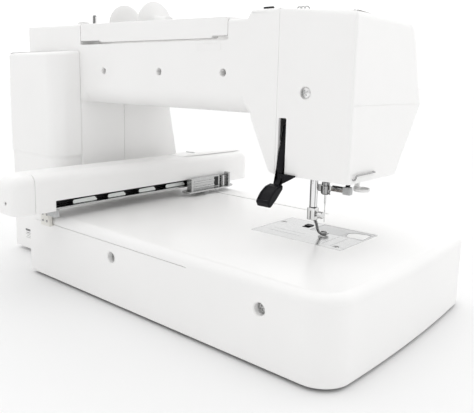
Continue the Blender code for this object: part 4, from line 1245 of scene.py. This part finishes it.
def make_lifter():
    """The black lever: a narrow bowed arm, a side wing and a broad finger pad."""
    inner = [(44.5, 195, 1), (43.4, 178, 5), (49, 169, 8), (54.6, 161, 8), (55.2, 149, 8)]
    inner += [(57.5, 142, 5), (65, 134, 1)]
    outer = [(74, 134, 1), (64, 141.5, 4), (59.2, 147, 4), (61, 156, 6), (60, 164, 10), (57.4, 172, 12)]
    outer += [(53.6, 183, 8), (51.6, 195, 1)]
    arm = slab("lifter_arm", rounded(inner + outer, 5), "x", (-168.7, -161.9), 1.1, 1.1, 4)
    finish_piece(arm, "lifter", "black_plastic", ("presser_lifter",))
    pad = [(62.6, 141.6, 1.5), (63.4, 137.0, 1.5), (72.4, 128.4, 20), (81.4, 121.8, 2), (84.6, 127.6, 2)]
    pad += [(78.6, 135.3, 16), (71.6, 139.8, 10)]
    grip = slab("lifter_pad", rounded(pad, 6), "x", (-172.8, -157.8), 1.5, 1.5, 5)
    dish = [(66.5, 142.6, 0), (70.6, 139.2, 6), (77.4, 134.9, 12), (82.6, 128.2, 2), (86.5, 131.5, 0)]
    dish += [(76, 146, 0)]
    cut(grip, slab("dish", rounded(dish, 6), "x", (-170.8, -159.8), 0.8, 0.8, 3))
    finish_piece(grip, "lifter", "black_plastic")
    wing = [(-164, 150.6, 0), (-164, 141, 0), (-170, 142, 2), (-176, 145.4, 6), (-182.8, 149.4, 0.4)]
    wing += [(-182.2, 150.4, 0.4), (-172, 150.7, 1)]
    blade = slab("lifter_wing", rounded(wing, 4), "y", (58.4, 61.2), 0.5, 0.5, 3)
    finish_piece(blade, "lifter", "black_plastic")


def make_threader():
    """The lever with its round pad, and the small mechanism that rides on it."""
    stem = block("threader_stem", (-205.0, -200.6), (-20, -16.2), (131.5, 175), 1.0, 0.6, 3)
    disc = [(7.2, 130), (8, 130.8), (8, 132.4), (7.6, 133), (6.6, 132.6), (6.2, 131.6)]
    pad = turned("pad", disc, (-208, -18, 0), "z", 56)
    root = turned("root", [(3.4, 130.2), (3.4, 133.4), (2.8, 134)], (-202.8, -18, 0), "z", 32)
    together(stem, pad, root)
    stand_for(stem, "threader_lever")
    holder = block("threader_block", (-197, -188.5), (-21, -14.5), (124.2, 132), 1.2, 0.8, 4)
    stand_for(holder, "needle_threader", "grey_plastic")
    link = block("threader_link", (-189, -174.5), (-20, -16), (125.6, 130.4), 0.8, 0.6, 3)
    ridges = [sharp_box("ridge", about(-186.5 + 3.0 * k, 0.5), (-22, -14), (129.6, 132)) for k in range(4)]
    cut(link, *ridges)
    finish_piece(link, "threader", "worn_metal")
    shape = [(1.4, -188), (2.3, -187.4), (2.3, -176), (1.6, -175)]
    barrel = turned("threader_barrel", shape, (0, -18, 129.2), "x", 32)
    finish_piece(barrel, "threader", "dark_steel")
    post = block("threader_post", (-194.4, -191.0), (-20.5, -16), (128, 170), 0.8, 0.4, 3)
    finish_piece(post, "threader", "black_plastic")
    bend = [(-175, -18, 126.4), (-172.6, -17.6, 124.4), (-171.6, -17.2, 121.6)]
    hook = wire("threader_hook", bend, 0.45, 10, 0.6)
    finish_piece(hook, "threader", "satin_steel")


def make_thread_guides():
    end = FACE_X[0]
    (rear_y, low), (front_y, high) = GUIDE_ENDS
    path = [(end + 3.5, rear_y, low), (end + 0.5, rear_y, low), (end - 1.3, rear_y - 0.2, low)]
    path += [(end - 2.1, rear_y - 0.6, low + 1), (end - 2.2, rear_y - 2.4, high - 0.3)]
    path += [(end - 2.2, rear_y - 6, high), (end - 2.2, front_y + 4, high), (end - 2, front_y + 1, high)]
    path += [(end - 0.8, front_y, high), (end + 0.5, front_y, high), (end + 3.5, front_y, high)]
    guide = wire("face_guide_wire", path, 0.8, 16)
    stand_for(guide, "face_thread_guide", "dark_steel")
    arm_outline = [(-46, 219, 2), (-45, 226, 2), (-80, 240, 6), (-105, 236.4, 3), (-107.2, 231, 1)]
    arm_outline += [(-98, 231, 2), (-79, 234, 4)]
    lever = slab("take_up_arm", rounded(arm_outline, 4), "x", (-190.4, -187.6), 0.5, 0.5, 3)
    cut(lever, turned("eye", [(1.5, -195), (1.5, -183)], (0, -101.5, 233.8), "x", 24))
    stand_for(lever, "take_up_lever", "chrome")


# ---------------------------------------------------------------- controls


def make_controls():
    x, y, z = span("touch_screen")
    bezel = slab("screen_bezel", rounded_box(x, z, 2.2, 5), "y", (y[0] + 0.7, y[1]), 0.6, 0.3, 3)
    well = rounded_box(grow(x, -5), grow(z, -5), 1.5, 4)
    cut(bezel, prism("well", well, "y", (y[0] - 2, y[0] + 1.6)))
    stand_for(bezel, "touch_screen", "grey_plastic")
    pane = rounded_box(grow(x, -5.2), grow(z, -5.2), 1.3, 4)
    glass = slab("screen_panel", pane, "y", (y[0] + 1.2, y[0] + 1.9), 0.1, 0.1, 1)
    finish_piece(glass, "machine", "screen_glass")
    for name, node in (
        ("start_key", "start_stop_button"),
        ("needle_key", "needle_button"),
        ("cutter_key", "thread_cutter_button"),
    ):
        bx, by, bz = span(node)
        centre = (mid(bx), 0, mid(bz))
        shape = [(6.6, by[0]), (7.6, by[0] + 0.5), (8, by[0] + 1.3), (8, by[1])]
        key = turned(name + "_cap", shape, centre, "y", 64)
        cut(key, turned("dish", [(5.2, by[0] - 1), (4.6, by[0] + 0.5)], centre, "y", 48))
        stand_for(key, node, "grey_plastic")
    x, y, z = span("power_inlet")
    inlet = slab("inlet_body", rounded_box(y, z, 2.0, 4), "x", x, 0.3, 0.5, 2)
    socket = rounded([(14, 29, 1), (33, 29, 1), (33, 37, 1), (29, 41, 1), (18, 41, 1), (14, 37, 1)], 3)
    cut(inlet, prism("socket", socket, "x", (x[0] + 3, x[1] + 5)))
    stand_for(inlet, "power_inlet", "black_plastic")
    for i, y_at in enumerate((18.5, 28.5)):
        prong = block(f"inlet_pin_{i}", (x[0] + 2.5, x[1] - 2.5), about(y_at, 1.6), (34, 35.4), 0.4, 0.3, 2)
        finish_piece(prong, "machine", "chrome")
    rocker = [(256, 53.8, 1), (266.8, 53.8, 1), (268.2, 60, 12), (270.4, 66.2, 1), (256, 66.2, 1)]
    switch = slab("power_rocker_key", rounded(rocker, 4), "y", (13, 34), 0.5, 0.5, 3)
    stand_for(switch, "power_switch", "black_plastic")
    make_handwheel()


def make_handwheel():
    """The wheel, with a finely waved rim for grip."""
    x, y, z = span("handwheel")
    radius = (y[1] - y[0]) / 2
    profile = [(radius - 2.2, x[0]), (radius - 0.8, x[0] + 0.6), (radius, x[0] + 2), (radius, x[1] - 2.6)]
    profile += [(radius - 0.8, x[1] - 1), (radius - 2.6, x[1]), (15, x[1]), (13.4, x[1] - 1)]
    profile += [(12, x[1] - 2.5), (2, x[1] - 2.6)]
    wheel = turned("handwheel_rim", profile, (0, mid(y), mid(z)), "x", 216)
    count, depth = 36, 0.8
    for vertex in wheel.data.vertices:
        across, up = vertex.co.y / MM - mid(y), vertex.co.z / MM - mid(z)
        distance = math.hypot(across, up)
        if distance > radius - 3:
            wave = max(0.0, math.cos(count * math.atan2(up, across))) ** 2
            share = (distance - depth * wave) / distance
            vertex.co.y, vertex.co.z = (mid(y) + across * share) * MM, (mid(z) + up * share) * MM
    stand_for(wheel, "handwheel")


# ---------------------------------------------------------------- what stays as the CAD has it


def dress_cad_nodes():
    """Gives the remaining CAD nodes their materials and smooth shading."""
    slots = {row["node"]: row["material_slot"] for row in frame["record"]["subparts"]}
    for name, obj in frame["nodes"].items():
        if obj.hide_render:
            continue
        slot = slots[name]
        obj.data.materials.clear()
        obj.data.materials.append(LOOKS[slot])
        obj.data.shade_smooth()
        obj.data.set_sharp_from_angle(angle=SMOOTH_ANGLE)


# ---------------------------------------------------------------- stage, light and camera

EYE = (-471.09, 478.44, 234.16)
YAW, PITCH, ROLL = (math.radians(a) for a in (40.409, 9.433, 1.399))
LENS, SENSOR, SHIFT_Y = 43.59, 36.0, -0.0665
STUDIO_BACK, STUDIO_AHEAD = 0.62, 1.3  # brightness of the studio behind the camera and beyond the object


def make_stage():
    stage, _, _, shader = new_material("floor_white")
    shader.inputs["Base Color"].default_value = (0.88, 0.88, 0.88, 1.0)
    shader.inputs["Roughness"].default_value = 0.6
    shader.inputs["Specular IOR Level"].default_value = 0.2
    bpy.ops.mesh.primitive_plane_add(size=60.0, location=(0, 0, -0.0002))
    floor = bpy.context.object
    floor.name = "floor"
    floor.data.materials.append(stage)


def area_light(name, place, target, size, power):
    data = bpy.data.lights.new(name, "AREA")
    data.shape = "RECTANGLE"
    data.size, data.size_y = size
    data.energy = power
    lamp = bpy.data.objects.new(name, data)
    lamp.location = place
    way = Vector(target) - Vector(place)
    lamp.rotation_mode = "QUATERNION"
    lamp.rotation_quaternion = way.to_track_quat("-Z", "Y")
    bpy.context.scene.collection.objects.link(lamp)


def make_lights():
    world = bpy.data.worlds.new("studio")
    world.use_nodes = True
    nodes, links = world.node_tree.nodes, world.node_tree.links
    place = nodes.new("ShaderNodeTexCoord")
    toward = nodes.new("ShaderNodeVectorMath")
    toward.operation = "DOT_PRODUCT"
    toward.inputs[1].default_value = (0.42, -0.7, 0.5)
    links.new(place.outputs["Generated"], toward.inputs[0])
    shade = nodes.new("ShaderNodeMapRange")
    shade.inputs["From Min"].default_value = -0.8
    shade.inputs["From Max"].default_value = 0.7
    shade.inputs["To Min"].default_value = STUDIO_BACK
    shade.inputs["To Max"].default_value = STUDIO_AHEAD
    links.new(toward.outputs["Value"], shade.inputs["Value"])
    back = nodes["Background"]
    back.inputs["Color"].default_value = (1.0, 1.0, 1.0, 1.0)
    links.new(shade.outputs["Result"], back.inputs["Strength"])
    bpy.context.scene.world = world
    area_light("key", (-1.2, 0.75, 0.55), (0.0, 0.0, 0.13), (1.3, 0.9), 0.15)
    area_light("top", (-0.2, 0.75, 1.9), (-0.05, 0.05, 0.1), (1.8, 1.4), 2.0)
    bpy.context.scene.view_settings.view_transform = "Standard"


def make_camera():
    data = bpy.data.cameras.new("camera")
    data.lens = LENS
    data.sensor_width = SENSOR
    data.shift_y = SHIFT_Y
    data.clip_start, data.clip_end = 0.01, 100.0
    camera = bpy.data.objects.new("camera", data)
    ahead = Vector((math.sin(YAW) * math.cos(PITCH), -math.cos(YAW) * math.cos(PITCH), -math.sin(PITCH)))
    across = ahead.cross(Vector((0, 0, 1))).normalized()
    upright = across.cross(ahead)
    right = across * math.cos(ROLL) + upright * math.sin(ROLL)
    above = upright * math.cos(ROLL) - across * math.sin(ROLL)
    turn = Matrix((right, above, -ahead)).transposed()
    camera.rotation_mode = "QUATERNION"
    camera.rotation_quaternion = turn.to_quaternion()
    camera.location = Vector(EYE) * MM
    bpy.context.scene.collection.objects.link(camera)
    bpy.context.scene.camera = camera


MAKERS = (
    make_camera, make_stage, make_lights, make_bed, make_needle_plate, make_rear_cover,
    make_front_cover, make_face_cover, make_side_cover, make_rear_housing, make_top, make_spool_parts,
    make_thread_guide, make_handle, make_carriage_cover, make_carriage_hood, make_carriage_rail,
    make_carriage_bracket, make_hoop_connector, make_bars, make_presser_foot, make_lifter,
    make_threader, make_thread_guides, make_controls,
)
for make in MAKERS:
    make()
dress_cad_nodes()
